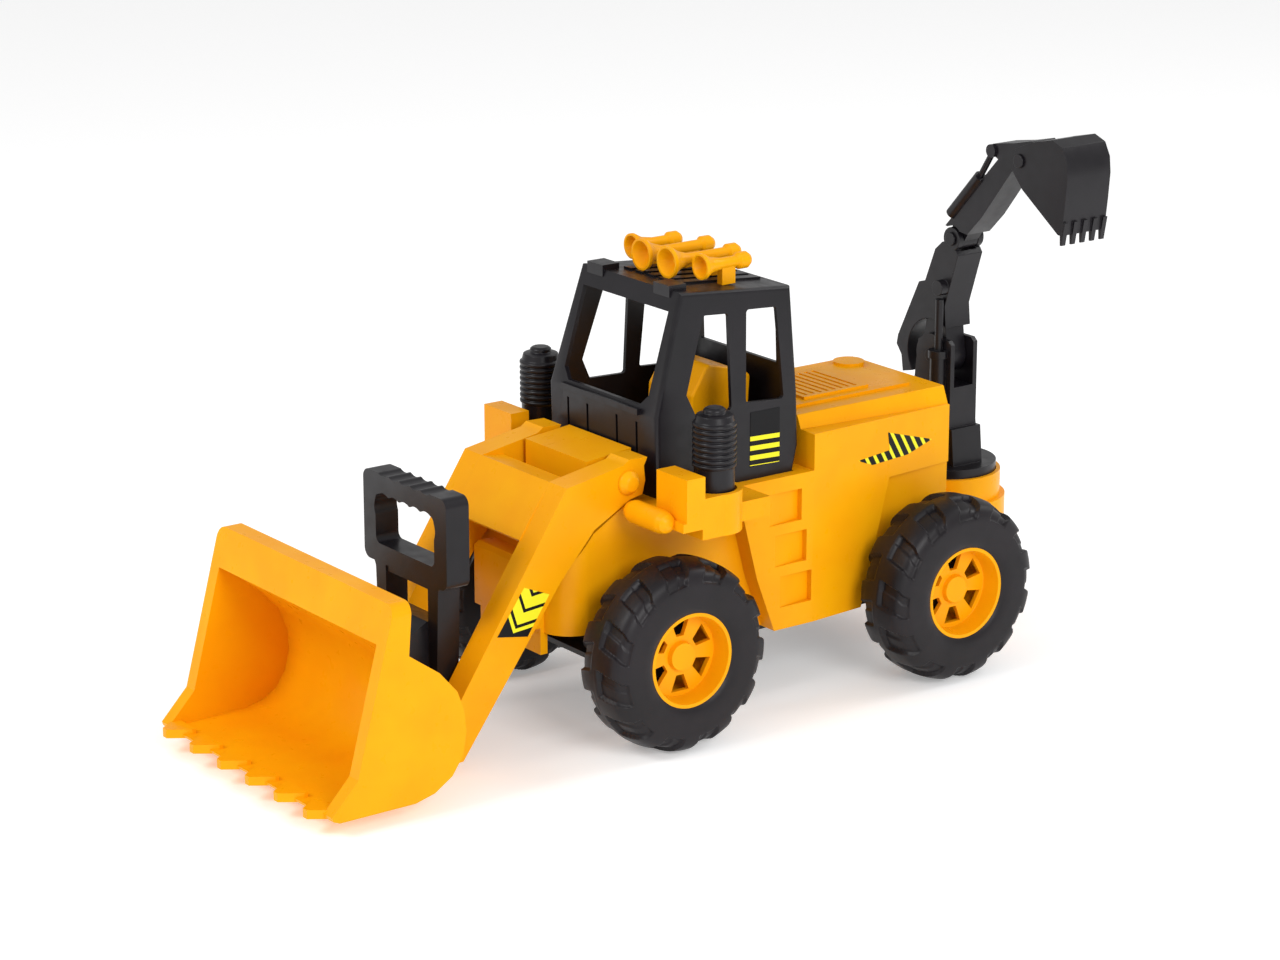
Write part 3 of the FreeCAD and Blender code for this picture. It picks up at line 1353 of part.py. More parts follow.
BOOM_OUTLINE = [
    ("bulge_foot", -40, 194), ("bulge_low", -42, 207), ("bulge_tip", -48, 214.5),
    ("bulge_top", -46.5, 222), ("rib_top", -23, 269), ("step", -16, 271), ("neck", -5, 298),
    ("fork_in", 3, 305), ("fork_out", 15, 303), ("crook", 19, 300.5), ("collar", 21.5, 297),
    ("waist", 7.8, 255), ("under", 10, 234), ("middle", -6, 222), ("bulge_root", -28, 197),
]
BOOM_TONGUE = [
    ("left_low", -20.5, 216), ("left_high", -16, 246), ("right_high", 4, 250), ("right_low", 8.5, 216),
]
DIPPER_OUTLINE = [
    ("heel", 5, 318), ("shoulder", 62.5, 378.5), ("boss", 51, 384), ("head_front", 57, 389.5),
    ("head_top", 80, 393.5), ("head_tip", 99, 398), ("head_end", 105, 391), ("chin", 99, 376),
    ("throat", 80, 374), ("belly", 46, 331), ("crook", 30, 315),
]
DIPPER_TONGUE = [
    ("low", 7, 314), ("high", 18, 340), ("out", 38, 330), ("crook", 22, 308),
]


def make_boom():
    thick = cut("boom_thick", plate("boom_side", BOOM_OUTLINE, "boom_half"),
                along_y("boom_clear", "boom_clear_radius", "boom_half + 1",
                        "boom_pivot_x", "boom_pivot_z"))
    fork = along_y("boom_fork", "elbow_eye_radius", "boom_half", "elbow_x", "elbow_z")
    tongue = plate("boom_tongue", BOOM_TONGUE, "boom_tongue_half")
    eye = along_y("boom_eye", "boom_eye_radius", "boom_tongue_half", "boom_pivot_x", "boom_pivot_z")
    face = f"({Y_SWING} - boom_half)"
    head = cylinder("boom_rod_head", "Y", "rod_head_radius",
                    f"{face} - side_gap - 2 * rod_radius", face + " + 1", ("ram_x", "0", "rod_head_z"))
    ribs = [plate(f"boom_rib{number}", [
        ("low_in", f"-46.5 + {number} * 4.4 - 1.5", f"222 + {number} * 8.8"),
        ("high_in", f"-46.5 + {number} * 4.4 + 0.6", f"222 + {number} * 8.8 + 5"),
        ("high_out", f"-46.5 + {number} * 4.4 + 6", f"222 + {number} * 8.8 + 3"),
        ("low_out", f"-46.5 + {number} * 4.4 + 4", f"222 + {number} * 8.8 - 2"),
    ], "boom_half - 2") for number in range(5)]
    solid = fuse("boom_solid", thick, fork, tongue, eye, head, *ribs)
    slot = along_y("elbow_slot", "elbow_eye_radius + eye_gap", "boom_slot_half", "elbow_x", "elbow_z")
    bores = [
        along_y("boom_bore", "backhoe_pin_radius + running_gap", "boom_half + 1",
                "boom_pivot_x", "boom_pivot_z"),
        along_y("elbow_pin_hole", "backhoe_pin_radius", "boom_half + 1", "elbow_x", "elbow_z"),
    ]
    finish("boom", cut("boom_piece", solid, slot, *bores))


def slanted_bar(name, radius, start, end):
    """A round bar on the dipper's front face, from one X-Z point to another."""
    run = Vector(end[0] - start[0], 0, end[1] - start[1])
    bar = doc.addObject("Part::Cylinder", name)
    bar.Placement = Placement(Vector(), Rotation(Vector(0, 0, 1), run))
    bind(bar, "Radius", radius)
    dim(name + "_length", round(run.Length, 3))
    dim(name + "_x", start[0])
    dim(name + "_z", start[1])
    bind(bar, "Height", name + "_length")
    set_place(bar, (name + "_x", f"{Y_SWING} - dipper_half + dipper_ram_sunk", name + "_z"))
    return bar


def make_dipper():
    thick = cut("dipper_thick", plate("dipper_side", DIPPER_OUTLINE, "dipper_half"),
                along_y("dipper_clear", "elbow_eye_radius + eye_gap", "dipper_half + 1",
                        "elbow_x", "elbow_z"))
    tongue = plate("dipper_tongue", DIPPER_TONGUE, "dipper_tongue_half")
    eye = along_y("dipper_eye", "elbow_eye_radius - 0.5", "dipper_tongue_half", "elbow_x", "elbow_z")
    barrel = slanted_bar("dipper_barrel", "dipper_barrel_radius", (11, 328), (42.5, 362))
    rod = slanted_bar("dipper_rod", "dipper_rod_radius", (40, 359.3), (56, 384))
    boss = along_y("dipper_boss", "dipper_boss_radius", "dipper_half + 2", "56", "384")
    knuckle = along_y("dipper_knuckle", "knuckle_radius", "scoop_half - scoop_wall - side_gap",
                      "scoop_pivot_x", "scoop_pivot_z")
    solid = fuse("dipper_solid", thick, tongue, eye, barrel, rod, boss, knuckle)
    bores = [
        along_y("dipper_bore", "backhoe_pin_radius + running_gap", "dipper_half + 1",
                "elbow_x", "elbow_z"),
        along_y("scoop_bore", "backhoe_pin_radius + running_gap", "scoop_half",
                "scoop_pivot_x", "scoop_pivot_z"),
    ]
    finish("dipper", cut("dipper_piece", solid, *bores))


SCOOP_OUTER = [
    ("ear_high", 92, 392.5), ("top_front", 110, 400), ("top", 131, 405), ("back_top", 142, 401),
    ("back_high", 147.5, 391), ("back", "scoop_reach", 379), ("back_low", 147.2, 360),
    ("lip_back", 144.5, 336), ("lip_front", 140.5, 336), ("mouth", 101, 363), ("ear_low", 89, 376),
]
SCOOP_INNER = [
    ("open_high", 80, 420), ("open_top", 113, 420), ("top_front", 113, 397.8),
    ("top", 130.5, 402.3), ("back_top", 140.3, 398.8), ("back_high", 145, 390),
    ("back", 146.3, 379), ("back_low", 144.7, 360), ("lip_back", 142, 334), ("lip_front", 128, 330),
    ("open_low", 80, 350),
]


def make_scoop():
    """Backhoe bucket: a curved shell between two side plates, with five teeth."""
    outer = plate("scoop_side", SCOOP_OUTER, "scoop_half")
    inner = plate("scoop_inside", SCOOP_INNER, "scoop_half - scoop_wall")
    shapes = [cut("scoop_shell", outer, inner)]
    for number in range(5):
        middle = f"({number} - (scoop_tooth_count - 1) / 2) * scoop_tooth_pitch"
        shapes.append(prism(f"scoop_tooth{number}", "XZ", [
            ("root_in", 141.8, 346), ("tip_in", 142.6, 328.5), ("tip_out", 144.4, 328.5),
            ("root_out", 147.6, 346),
        ], f"{middle} - scoop_tooth_half", f"{middle} + scoop_tooth_half", ("0", Y_SWING, "0")))
    bore = along_y("scoop_pin_hole", "backhoe_pin_radius", "scoop_half + 1", "scoop_pivot_x",
                   "scoop_pivot_z")
    finish("backhoe_bucket", cut("scoop", fuse("scoop_solid", *shapes), bore))


def make_backhoe_pins():
    """Headed pins: each is held by the outer fork and turns in the inner eye."""
    for label, half, x, z in (("boom_pin", "post_half", "boom_pivot_x", "boom_pivot_z"),
                              ("elbow_pin", "boom_half", "elbow_x", "elbow_z"),
                              ("scoop_pin", "scoop_half", "scoop_pivot_x", "scoop_pivot_z")):
        shank = along_y(label + "_shank", "backhoe_pin_radius", half, x, z)
        heads = [
            cylinder(f"{label}_head_{end}", "Y", "pin_head_radius", low, high, (x, "0", z))
            for end, low, high in (
                ("front", f"{Y_SWING} - {half} - pin_head_height", f"{Y_SWING} - {half}"),
                ("back", f"{Y_SWING} + {half}", f"{Y_SWING} + {half} + pin_head_height"))]
        finish(label, fuse(label + "_piece", shank, *heads))


# ------------------------------------------------------------------------- stickers
ARM_STICKER = [
    ("top_front", -89.9, -60.5), ("top_rear", -68.6, -69.5), ("low_rear", -87.4, -97),
    ("low_front", -112.9, -92.5),
]
HOOD_STICKER = [
    ("tail", 195, 170), ("tail_low", 210, 164), ("nose_low", 247, 165), ("nose", 273, 172),
    ("top", 226, 186), ("root", 228, 172),
]


def make_stickers():
    arm = prism("arm_sticker", "YZ", ARM_STICKER, "arm_outer", "arm_outer + sticker_thickness",
                ARM_PIVOT)
    finish_pair("arm_sticker", arm)
    cab = box("cab_sticker", ("cab_half", "cab_half + sticker_thickness"), ("97", "124"),
              ("181", "222"))
    finish_pair("cab_sticker", cab)
    skin = cut("hood_skin", body_plan("skin_outer", "sticker_thickness"),
               body_plan("skin_inner", "0"))
    outline_block = prism("hood_sticker_block", "YZ", HOOD_STICKER, "20", "panel_half + 5")
    finish_pair("hood_sticker", common("hood_sticker", skin, outline_block))


# ---------------------------------------------------------------------------- build
def check_and_write():
    """Refuse to write anything unless every object is sound."""
    doc.recompute()
    for thing in doc.Objects:
        if "Invalid" in thing.State or "Error" in thing.State:
            raise RuntimeError(f"{thing.Name}: {thing.State}")
    for piece in pieces:
        if piece.Shape.isNull() or not piece.Shape.isValid() or not piece.Shape.Solids:
            raise RuntimeError(f"{piece.Label}: unsound shape")
    os.makedirs("parts", exist_ok=True)
    for piece in pieces:
        piece.Shape.exportStep(f"parts/{piece.Label}.step")
        room = piece.Shape.BoundBox
        print(f"{piece.Label:24s} solids {len(piece.Shape.Solids)}"
              f"  x {room.XMin:7.1f} {room.XMax:7.1f}  y {room.YMin:7.1f} {room.YMax:7.1f}"
              f"  z {room.ZMin:7.1f} {room.ZMax:7.1f}  {piece.Shape.Volume / 1000:8.2f} cm3")


for make in (make_wheels, make_axles, make_tray, make_screws, make_body, make_cab, make_seat,
             make_horns, make_stacks, make_arms, make_arm_pins, make_bucket, make_bucket_pins,
             make_handle, make_handle_bolts, make_post, make_swing_pin, make_boom, make_dipper,
             make_scoop, make_backhoe_pins, make_stickers):
    make()
check_and_write()
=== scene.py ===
import json
import math
import bmesh
import bpy
from mathutils import Matrix, Vector


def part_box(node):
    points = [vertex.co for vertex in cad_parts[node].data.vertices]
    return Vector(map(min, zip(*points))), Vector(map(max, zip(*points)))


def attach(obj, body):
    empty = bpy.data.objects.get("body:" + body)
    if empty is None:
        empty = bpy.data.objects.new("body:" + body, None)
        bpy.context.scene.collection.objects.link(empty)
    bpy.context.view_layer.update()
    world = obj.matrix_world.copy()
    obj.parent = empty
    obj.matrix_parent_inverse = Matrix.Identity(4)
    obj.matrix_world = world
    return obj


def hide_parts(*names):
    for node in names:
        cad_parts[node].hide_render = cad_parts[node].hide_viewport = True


# The looks of a toy backhoe loader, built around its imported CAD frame.
# Sizes are in millimetres in the vehicle's own coordinates (x from the centre plane,
# y from the front axle towards the rear, z from the ground) and spot() turns them
# into metres in the frame.

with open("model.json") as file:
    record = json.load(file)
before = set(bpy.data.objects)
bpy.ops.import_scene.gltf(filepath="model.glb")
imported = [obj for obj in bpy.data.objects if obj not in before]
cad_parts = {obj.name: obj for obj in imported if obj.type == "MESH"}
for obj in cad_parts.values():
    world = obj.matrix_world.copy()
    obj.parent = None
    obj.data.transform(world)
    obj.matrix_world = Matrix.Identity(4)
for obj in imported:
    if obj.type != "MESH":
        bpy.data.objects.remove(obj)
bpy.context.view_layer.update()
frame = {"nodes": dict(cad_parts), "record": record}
NODES = frame["nodes"]
BODY_OF = {node: body for body, members in frame["record"]["behaviour"]["bodies"].items()
           for node in members}
MM = 0.001
SIDES = (("left", 1), ("right", -1))


def middle(node):
    """Centre of a CAD node's box, in metres."""
    low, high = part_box(node)
    return (low + high) / 2


FRONT_AXLE = middle("front_axle")


def spot(x, y, z):
    """A point in vehicle millimetres, in the frame's metres."""
    return Vector((FRONT_AXLE.x + x * MM, FRONT_AXLE.y + y * MM, z * MM))


def vehicle(place):
    """A point of the frame in vehicle millimetres."""
    return ((place.x - FRONT_AXLE.x) / MM, (place.y - FRONT_AXLE.y) / MM, place.z / MM)


# ------------------------------------------------------------------- material nodes
class Shader:
    """A node material around one Principled BSDF, with short ways to add nodes."""

    def __init__(self, name, colour, roughness):
        self.material = bpy.data.materials.new(name)
        self.material.use_nodes = True
        self.tree = self.material.node_tree
        self.shader = self.tree.nodes["Principled BSDF"]
        self.shader.inputs["Base Color"].default_value = (*colour, 1)
        self.shader.inputs["Roughness"].default_value = roughness
        self.place = self.tree.nodes.new("ShaderNodeTexCoord").outputs["Object"]

    def set(self, name, value):
        self.shader.inputs[name].default_value = value

    def link(self, source, target):
        self.tree.links.new(source, target)

    def noise(self, size, detail=3.0, stretch=(1, 1, 1)):
        """Noise whose features are about size millimetres across."""
        mapping = self.tree.nodes.new("ShaderNodeMapping")
        mapping.inputs["Scale"].default_value = [axis / (size * MM) for axis in stretch]
        self.link(self.place, mapping.inputs["Vector"])
        noise = self.tree.nodes.new("ShaderNodeTexNoise")
        noise.inputs["Scale"].default_value = 1.0
        noise.inputs["Detail"].default_value = detail
        self.link(mapping.outputs["Vector"], noise.inputs["Vector"])
        return noise.outputs["Fac"]

    def remap(self, value, low_in, high_in, low, high):
        ramp = self.tree.nodes.new("ShaderNodeMapRange")
        for name, number in (("From Min", low_in), ("From Max", high_in),
                             ("To Min", low), ("To Max", high)):
            ramp.inputs[name].default_value = number
        self.link(value, ramp.inputs["Value"])
        return ramp.outputs["Result"]

    def maths(self, kind, first, second=0.0):
        node = self.tree.nodes.new("ShaderNodeMath")
        node.operation = kind
        for socket, value in zip(node.inputs, (first, second)):
            if isinstance(value, (int, float)):
                socket.default_value = value
            else:
                self.link(value, socket)
        return node.outputs[0]

    def along(self, direction, origin):
        """Signed distance in millimetres from origin along a direction."""
        shift = self.tree.nodes.new("ShaderNodeVectorMath")
        shift.operation = "SUBTRACT"
        shift.inputs[1].default_value = origin
        self.link(self.place, shift.inputs[0])
        dot = self.tree.nodes.new("ShaderNodeVectorMath")
        dot.operation = "DOT_PRODUCT"
        dot.inputs[1].default_value = Vector(direction).normalized() / MM
        self.link(shift.outputs[0], dot.inputs[0])
        return dot.outputs["Value"]

    def mix(self, factor, first, second):
        mix = self.tree.nodes.new("ShaderNodeMix")
        mix.data_type = "RGBA"
        self.link(factor, mix.inputs["Factor"])
        mix.inputs["A"].default_value = (*first, 1)
        mix.inputs["B"].default_value = (*second, 1)
        return mix.outputs["Result"]

    def bumps(self, *layers):
        """Stack bump layers, each (height socket, depth in millimetres)."""
        normal = None
        for height, depth in layers:
            bump = self.tree.nodes.new("ShaderNodeBump")
            bump.inputs["Strength"].default_value = 1.0
            bump.inputs["Distance"].default_value = depth * MM
            self.link(height, bump.inputs["Height"])
            if normal:
                self.link(normal, bump.inputs["Normal"])
            normal = bump.outputs["Normal"]
        self.link(normal, self.shader.inputs["Normal"])


def moulded_plastic(name, light, dark, roughness, grain=0.35, depth=0.012, shine=0.5):
    """Injection-moulded plastic: fine spark-eroded grain, faint sink waves, tonal drift."""
    look = Shader(name, light, roughness)
    look.set("Specular IOR Level", shine)
    drift = look.remap(look.noise(38, 2), 0.35, 0.65, 0, 1)
    look.link(look.mix(drift, dark, light), look.shader.inputs["Base Color"])
    patchy = look.remap(look.noise(9, 4), 0.3, 0.7, roughness - 0.05, roughness + 0.07)
    look.link(patchy, look.shader.inputs["Roughness"])
    look.bumps((look.noise(45, 1), 0.25), (look.noise(grain, 2), depth))
    return look.material


def yellow_plastic():
    return moulded_plastic("yellow_moulding", (0.885, 0.385, 0.002), (0.865, 0.350, 0.002), 0.31,
                           shine=0.11)


def black_plastic():
    return moulded_plastic("black_moulding", (0.0085, 0.0070, 0.0095),
                           (0.0055, 0.0048, 0.0065), 0.34, grain=0.5, depth=0.016, shine=0.32)


def tyre_plastic():
    return moulded_plastic("tyre_moulding", (0.0098, 0.0072, 0.0094),
                           (0.0066, 0.0052, 0.0066), 0.42, grain=0.8, depth=0.03, shine=0.28)


def plain_steel():
    look = Shader("zinc_steel", (0.60, 0.60, 0.62), 0.32)
    look.set("Metallic", 1.0)
    lines = look.noise(0.4, 2, (0.05, 1, 1))
    look.link(look.remap(lines, 0.3, 0.7, 0.24, 0.42), look.shader.inputs["Roughness"])
    look.bumps((lines, 0.01))
    return look.material


STICKER_YELLOW = (0.86, 0.80, 0.02)
STICKER_BLACK = (0.004, 0.004, 0.005)


def sticker(name, stripes):
    """Printed vinyl: stripes(look) gives 1 where the print is yellow."""
    look = Shader(name, STICKER_BLACK, 0.42)
    look.link(look.mix(stripes(look), STICKER_BLACK, STICKER_YELLOW),
              look.shader.inputs["Base Color"])
    look.set("Specular IOR Level", 0.2)
    look.bumps((look.noise(12, 1), 0.04))
    return look.material


def bars(look, distance, pitch, share, start=None, end=None):
    """1 on bars of a given pitch along distance, and 0 outside start..end."""
    wave = look.maths("FRACT", look.maths("DIVIDE", distance, pitch))
    inside = look.maths("LESS_THAN", wave, share)
    for kind, limit in (("GREATER_THAN", start), ("LESS_THAN", end)):
        if limit is not None:
            inside = look.maths("MULTIPLY", inside, look.maths(kind, distance, limit))
    return inside


# ------------------------------------------------------------------------ mesh tools
def add_object(name, mesh, material, body):
    """Put a mesh into the scene as a piece that rides on a body."""
    mesh.materials.clear()
    mesh.materials.append(material)
    piece = bpy.data.objects.new(name, mesh)
    bpy.context.scene.collection.objects.link(piece)
    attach(piece, body)
    return piece


def clean_copy(node):
    """A welded copy of a CAD node's mesh, with flat areas merged into whole faces."""
    mesh = NODES[node].data.copy()
    for layer in ("custom_normal", "sharp_edge", "sharp_face"):
        if layer in mesh.attributes:
            mesh.attributes.remove(mesh.attributes[layer])
    work = bmesh.new()
    work.from_mesh(mesh)
    bmesh.ops.remove_doubles(work, verts=work.verts, dist=0.004 * MM)
    bmesh.ops.dissolve_limit(work, angle_limit=math.radians(0.5), verts=work.verts,
                             edges=work.edges, use_dissolve_boundaries=False)
    bpy.data.meshes.remove(mesh)
    return work


def round_edges(work, width, segments, chosen, sharp=26):
    """Bevel the sharp edges for which chosen(edge's middle, direction) holds."""
    picked = []
    for edge in work.edges:
        if len(edge.link_faces) != 2 or edge.calc_face_angle(0) < math.radians(sharp):
            continue
        ends = [vert.co for vert in edge.verts]
        if chosen((ends[0] + ends[1]) / 2, (ends[1] - ends[0]).normalized()):
            picked.append(edge)
    if picked:
        bmesh.ops.bevel(work, geom=picked, offset=width * MM, offset_type="OFFSET",
                        segments=segments, profile=0.5, affect="EDGES", clamp_overlap=True,
                        miter_outer="ARC" if segments > 2 else "SHARP")


def shade(piece, angle=34):
    """Smooth shading with creases kept above an angle in degrees."""
    piece.data.shade_smooth()
    piece.data.set_sharp_from_angle(angle=math.radians(angle))
    weighted = piece.modifiers.new("even_shading", "WEIGHTED_NORMAL")
    weighted.keep_sharp = True


# Each chooser takes an edge's middle and direction, and says whether to round it.
def hood_edge(at, direction):
    """The two long top edges of the hood and the edge across its front."""
    x, y, z = vehicle(at)
    return z > 190 and y > 146 and (abs(direction.y) > 0.9 or abs(direction.x) > 0.9) and (
        abs(x) > 50 or y < 154)


def fender_block_edge(at, direction):
    """Edges of the block in front of each stack."""
    x, y, z = vehicle(at)
    return abs(x) > 89 and -8 < y < 12 and z > 163


def cab_edge(at, direction):
    """Outer edges of the cab: its four corner pillars and the rim of its roof."""
    x, y, z = vehicle(at)
    front = 14 if z < 231 else 14 + (z - 231) * 0.29
    return abs(x) > 58 and (y < front + 4 or y > 136 or z > 303)


def seat_edge(at, direction):
    """Edges round the upper part of the seat."""
    return abs(direction.x) < 0.5 and vehicle(at)[2] > 200


def bucket_edge(at, direction):
    """The outline of the bucket's two side plates, away from its thin lips."""
    x, y, z = vehicle(at)
    return abs(x) > 112 and abs(direction.x) < 0.5 and z > 20 and y > -262


# Node: (radius in millimetres, segments, chooser), ahead of the small bevel.
LARGE_ROUNDS = {
    "body_shell": ((5.5, 4, hood_edge), (2.6, 3, fender_block_edge)),
    "cab": ((3.6, 3, cab_edge),),
    "driver_seat": ((3.0, 3, seat_edge),),
    "loader_bucket": ((2.4, 3, bucket_edge),),
}


def soften(node, material, width=0.8, segments=2):
    """Stand in for a CAD node with the same shape, its edges rounded as moulded."""
    work = clean_copy(node)
    for size, steps, chosen in LARGE_ROUNDS.get(node, ()):
        round_edges(work, size, steps, chosen)
    mesh = bpy.data.meshes.new(node + "_moulding")
    work.to_mesh(mesh)
    work.free()
    piece = add_object(node + "_moulding", mesh, material, BODY_OF[node])
    bevel = piece.modifiers.new("edges", "BEVEL")
    bevel.width = width * MM
    bevel.segments = segments
    bevel.limit_method = "ANGLE"
    bevel.angle_limit = math.radians(28)
    bevel.use_clamp_overlap = True
    shade(piece)
    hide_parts(node)
    return piece


# ----------------------------------------------------------------------------- tyres
LUGS = 12
STEPS_PER_LUG = 42
# (x, radius) from the crown to the outer bead, then back along the inside.
TYRE_HALF_PROFILE = [
    (0, 70), (5, 70), (12, 69.2), (18.3, 67.3), (22.3, 63.6), (24.4, 58), (24.9, 51),
    (24.9, 43), (24.1, 38), (22.4, 34.9),
]
TYRE_INSIDE = [(18, 34.7), (-18, 34.7), (-22.6, 34.5), (-22.6, 8.4), (-24.9, 8.4)]
POCKET_START, POCKET_END = 3.2, 31.5
POCKET_SHARE = 0.54
POCKET_EDGE = 0.035
POCKET_DEPTH = 4.2


def smooth_step(value, low, high):
    """0 below low, 1 above high, and an S-curve between."""
    share = min(1.0, max(0.0, (value - low) / (high - low)))
    return share * share * (3 - 2 * share)


def smooth_path(points, spacing):
    """Points about spacing apart along a Catmull-Rom curve through the given ones."""
    out = []
    padded = [points[0]] + list(points) + [points[-1]]
    for index in range(1, len(padded) - 2):
        before, start, end, after = [Vector(point) for point in padded[index - 1:index + 3]]
        count = max(2, round((end - start).length / spacing))
        for step in range(count):
            t = step / count
            out.append(0.5 * ((2 * start) + (end - before) * t
                              + (2 * before - 5 * start + 4 * end - after) * t * t
                              + (3 * start - before - 3 * end + after) * t ** 3))
    out.append(Vector(points[-1]))
    return out


def pocket_depth(reach, turn, side):
    """How deep the tread is cut at a distance from the crown and a turn in lug pitches."""
    across = smooth_step(reach, POCKET_START, POCKET_START + 1.3)
    across *= 1 - smooth_step(reach, POCKET_END - 1.6, POCKET_END)
    lean = 0.007 * reach
    kink = 0.07 * smooth_step(reach, 20, 27)
    phase = (turn + (0.5 if side < 0 else 0.0) - lean - kink) % 1.0
    across *= smooth_step(phase, 0.0, POCKET_EDGE)
    across *= 1 - smooth_step(phase, POCKET_SHARE, POCKET_SHARE + POCKET_EDGE)
    floor = POCKET_DEPTH * (1 - 0.45 * smooth_step(reach, 14, POCKET_END))
    floor *= 1 - 0.28 * smooth_step(phase, 0.2, 0.26)
    return across * floor


def tyre_mesh(name, outward, turn):
    """One tyre about the origin, its tread turned by a share of a lug pitch."""
    half = smooth_path(TYRE_HALF_PROFILE, 1.15)
    reaches = [0.0]
    for before, here in zip(half, half[1:]):
        reaches.append(reaches[-1] + (here - before).length)
    rows = [(-point.x, point.y, reach, -1) for point, reach in zip(half, reaches)][:0:-1]
    rows += [(point.x, point.y, reach, 1) for point, reach in zip(half, reaches)]
    columns = LUGS * STEPS_PER_LUG
    vertices, faces = [], []
    for index, (x, radius, reach, side) in enumerate(rows):
        before, after = rows[max(index - 1, 0)], rows[min(index + 1, len(rows) - 1)]
        tangent = Vector((after[0] - before[0], after[1] - before[1])).normalized()
        inward = Vector((tangent.y, -tangent.x))
        for column in range(columns):
            depth = pocket_depth(reach, column / STEPS_PER_LUG + turn, side)
            angle = 2 * math.pi * column / columns
            spread = radius + inward.y * depth
            vertices.append(((x + inward.x * depth) * outward * MM,
                             spread * math.cos(angle) * MM, spread * math.sin(angle) * MM))
    for x, radius in TYRE_INSIDE:
        for column in range(columns):
            angle = 2 * math.pi * column / columns
            vertices.append((x * outward * MM, radius * math.cos(angle) * MM,
                             radius * math.sin(angle) * MM))
    rings = len(rows) + len(TYRE_INSIDE)
    for row in range(rings):
        following = (row + 1) % rings
        for column in range(columns):
            beside = (column + 1) % columns
            faces.append((row * columns + column, row * columns + beside,
                          following * columns + beside, following * columns + column))
    mesh = bpy.data.meshes.new(name)
    mesh.from_pydata(vertices, [], faces)
    mesh.validate()
    work = bmesh.new()
    work.from_mesh(mesh)
    bmesh.ops.recalc_face_normals(work, faces=work.faces)
    work.to_mesh(mesh)
    work.free()
    return mesh


def make_tyres(material):
    for end, turn in (("front", 0.1), ("rear", 0.55)):
        for side, outward in SIDES:
            node = f"tyre_{end}_{side}"
            mesh = tyre_mesh(node + "_tread", outward, turn)
            mesh.transform(Matrix.Translation(middle(node)))
            piece = add_object(node + "_tread", mesh, material, BODY_OF[node])
            mesh.shade_smooth()
            mesh.set_sharp_from_angle(angle=math.radians(50))
            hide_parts(node)


# --------------------------------------------------------------------------- stickers
def make_stickers():
    """Chevrons on the arms, level bars on the cab and slanted bars on the hood."""
    for side, outward in SIDES:
        arm = NODES[f"arm_sticker_{side}"]
        centre = middle(arm.name)
        down_arm = Vector((0, -0.55, -0.83)).normalized()
        across = Vector((0, 0.83, -0.55)).normalized()
        arm.data.materials.clear()
        arm.data.materials.append(sticker(f"chevrons_{side}", lambda look: bars(
            look, look.maths("ADD", look.along(down_arm, centre), look.maths(
                "MULTIPLY", look.maths("ABSOLUTE", look.along(across, centre)), 0.8)),
            12.6, 0.76, end=16)))
        cab = NODES[f"cab_sticker_{side}"]
        foot = Vector((0, 0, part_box(cab.name)[0].z))
        cab.data.materials.clear()
        cab.data.materials.append(sticker(f"level_bars_{side}", lambda look: bars(
            look, look.along((0, 0.04, 1), foot), 7.2, 0.5, start=3.0, end=25)))
        hood = NODES[f"hood_sticker_{side}"]
        back = middle(hood.name)
        hood.data.materials.clear()
        hood.data.materials.append(sticker(f"slant_bars_{side}", lambda look: bars(
            look, look.along((0, 0.86, 0.51), back), 7.5, 0.38)))


# ------------------------------------------------------------------------------ stage
CAMERA_AZIMUTH, CAMERA_ELEVATION = 53.59, 16.53
CAMERA_DISTANCE = 2641.2
CAMERA_AIM = (0, 47.0, 164.5)
FOCAL_LENGTH, SENSOR = 101.66, 36.0
FLOOR_REACH = 6.0
LAMP_AIM = (0, 90, 120)


def look_at(thing, target):
    thing.rotation_euler = (target - thing.location).to_track_quat("-Z", "Y").to_euler()


def make_camera():
    camera = bpy.data.objects.new("camera", bpy.data.cameras.new("camera"))
    azimuth, elevation = math.radians(CAMERA_AZIMUTH), math.radians(CAMERA_ELEVATION)
    aim = spot(*CAMERA_AIM)
    out = Vector((math.sin(azimuth) * math.cos(elevation),
                  -math.cos(azimuth) * math.cos(elevation), math.sin(elevation)))
    camera.location = aim + out * CAMERA_DISTANCE * MM
    look_at(camera, aim)
    camera.data.lens = FOCAL_LENGTH
    camera.data.sensor_width = SENSOR
    camera.data.clip_start = 0.05
    bpy.context.scene.collection.objects.link(camera)
    bpy.context.scene.camera = camera


def make_floor():
    mesh = bpy.data.meshes.new("floor")
    corners = ((-1, -1), (1, -1), (1, 1), (-1, 1))
    mesh.from_pydata([(x * FLOOR_REACH, y * FLOOR_REACH, 0) for x, y in corners],
                     [], [(0, 1, 2, 3)])
    floor = bpy.data.objects.new("floor", mesh)
    look = Shader("pale_floor", (0.93, 0.93, 0.93), 0.8)
    look.set("Emission Color", (1, 1, 1, 1))
    look.set("Emission Strength", 0.28)
    mesh.materials.append(look.material)
    bpy.context.scene.collection.objects.link(floor)


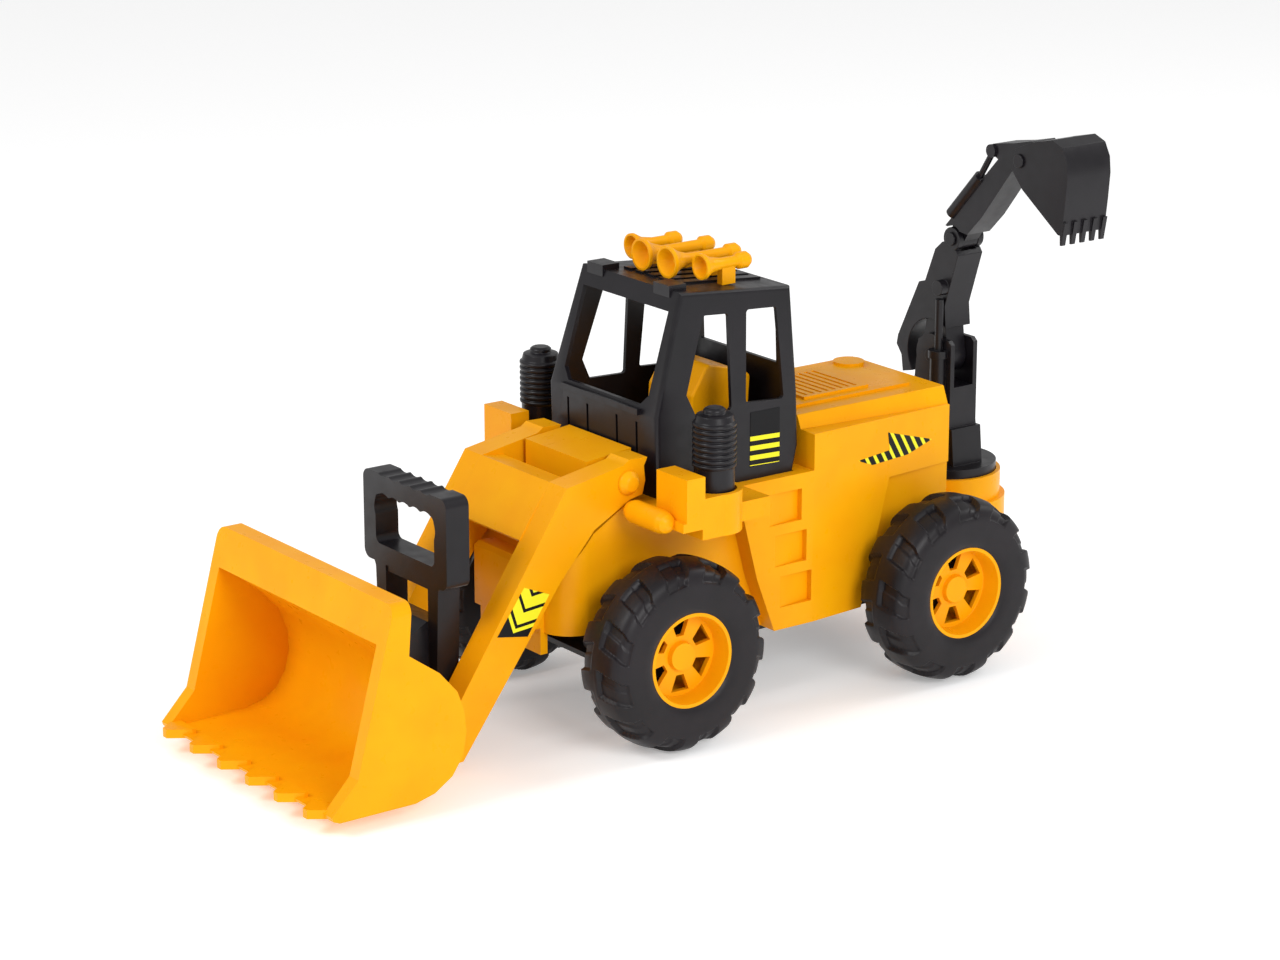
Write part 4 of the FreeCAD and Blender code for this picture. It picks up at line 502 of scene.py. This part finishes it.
def add_light(name, place, size, power, colour=(1, 1, 1)):
    light = bpy.data.lights.new(name, "AREA")
    light.shape = "DISK"
    light.size = size
    light.energy = power
    light.color = colour
    lamp = bpy.data.objects.new(name, light)
    lamp.location = place
    look_at(lamp, spot(*LAMP_AIM))
    bpy.context.scene.collection.objects.link(lamp)


def make_lights():
    world = bpy.data.worlds.new("studio")
    bpy.context.scene.world = world
    world.use_nodes = True
    background = world.node_tree.nodes["Background"]
    background.inputs["Color"].default_value = (1, 1, 1, 1)
    background.inputs["Strength"].default_value = 0.6
    add_light("key", Vector((-0.2, -2.4, 2.2)), 1.1, 35)
    add_light("side", Vector((2.6, -0.4, 1.5)), 1.4, 39)
    add_light("back", Vector((0.6, 2.4, 1.9)), 1.2, 16)
    bpy.context.scene.view_settings.view_transform = "Standard"


# ------------------------------------------------------------------------------ build
# Width in millimetres of the small bevel on each node's edges.
YELLOW_NODES = {
    "body_shell": 1.2, "driver_seat": 1.5, "loader_arms": 1.2, "loader_bucket": 1.4,
    "arm_pin_left": 0.6, "arm_pin_right": 0.6,
    "horn_inner_left": 0.4, "horn_inner_right": 0.4,
    "horn_outer_left": 0.4, "horn_outer_right": 0.4,
    "rim_front_left": 0.5, "rim_front_right": 0.5, "rim_rear_left": 0.5, "rim_rear_right": 0.5,
}
BLACK_NODES = {
    "chassis_tray": 0.8, "cab": 1.2, "air_cleaner_left": 0.5, "air_cleaner_right": 0.5,
    "bucket_handle": 1.6, "backhoe_post": 0.9, "boom": 0.8, "dipper": 0.8,
    "backhoe_bucket": 0.6, "boom_pin": 0.4, "elbow_pin": 0.4, "scoop_pin": 0.4,
}
STEEL_NODES = {
    "front_axle": 0.3, "rear_axle": 0.3, "chassis_screws": 0.3, "bucket_pin_left": 0.3,
    "bucket_pin_right": 0.3, "handle_bolts": 0.3, "swing_pin": 0.3,
}


def make_mouldings():
    yellow, black, steel = yellow_plastic(), black_plastic(), plain_steel()
    for sizes, material, slot in ((YELLOW_NODES, yellow, "yellow_plastic"),
                                  (BLACK_NODES, black, "black_plastic"),
                                  (STEEL_NODES, steel, "steel")):
        for node, width in sizes.items():
            soften(node, material, width)


make_camera()
make_floor()
make_lights()
make_mouldings()
make_tyres(tyre_plastic())
make_stickers()
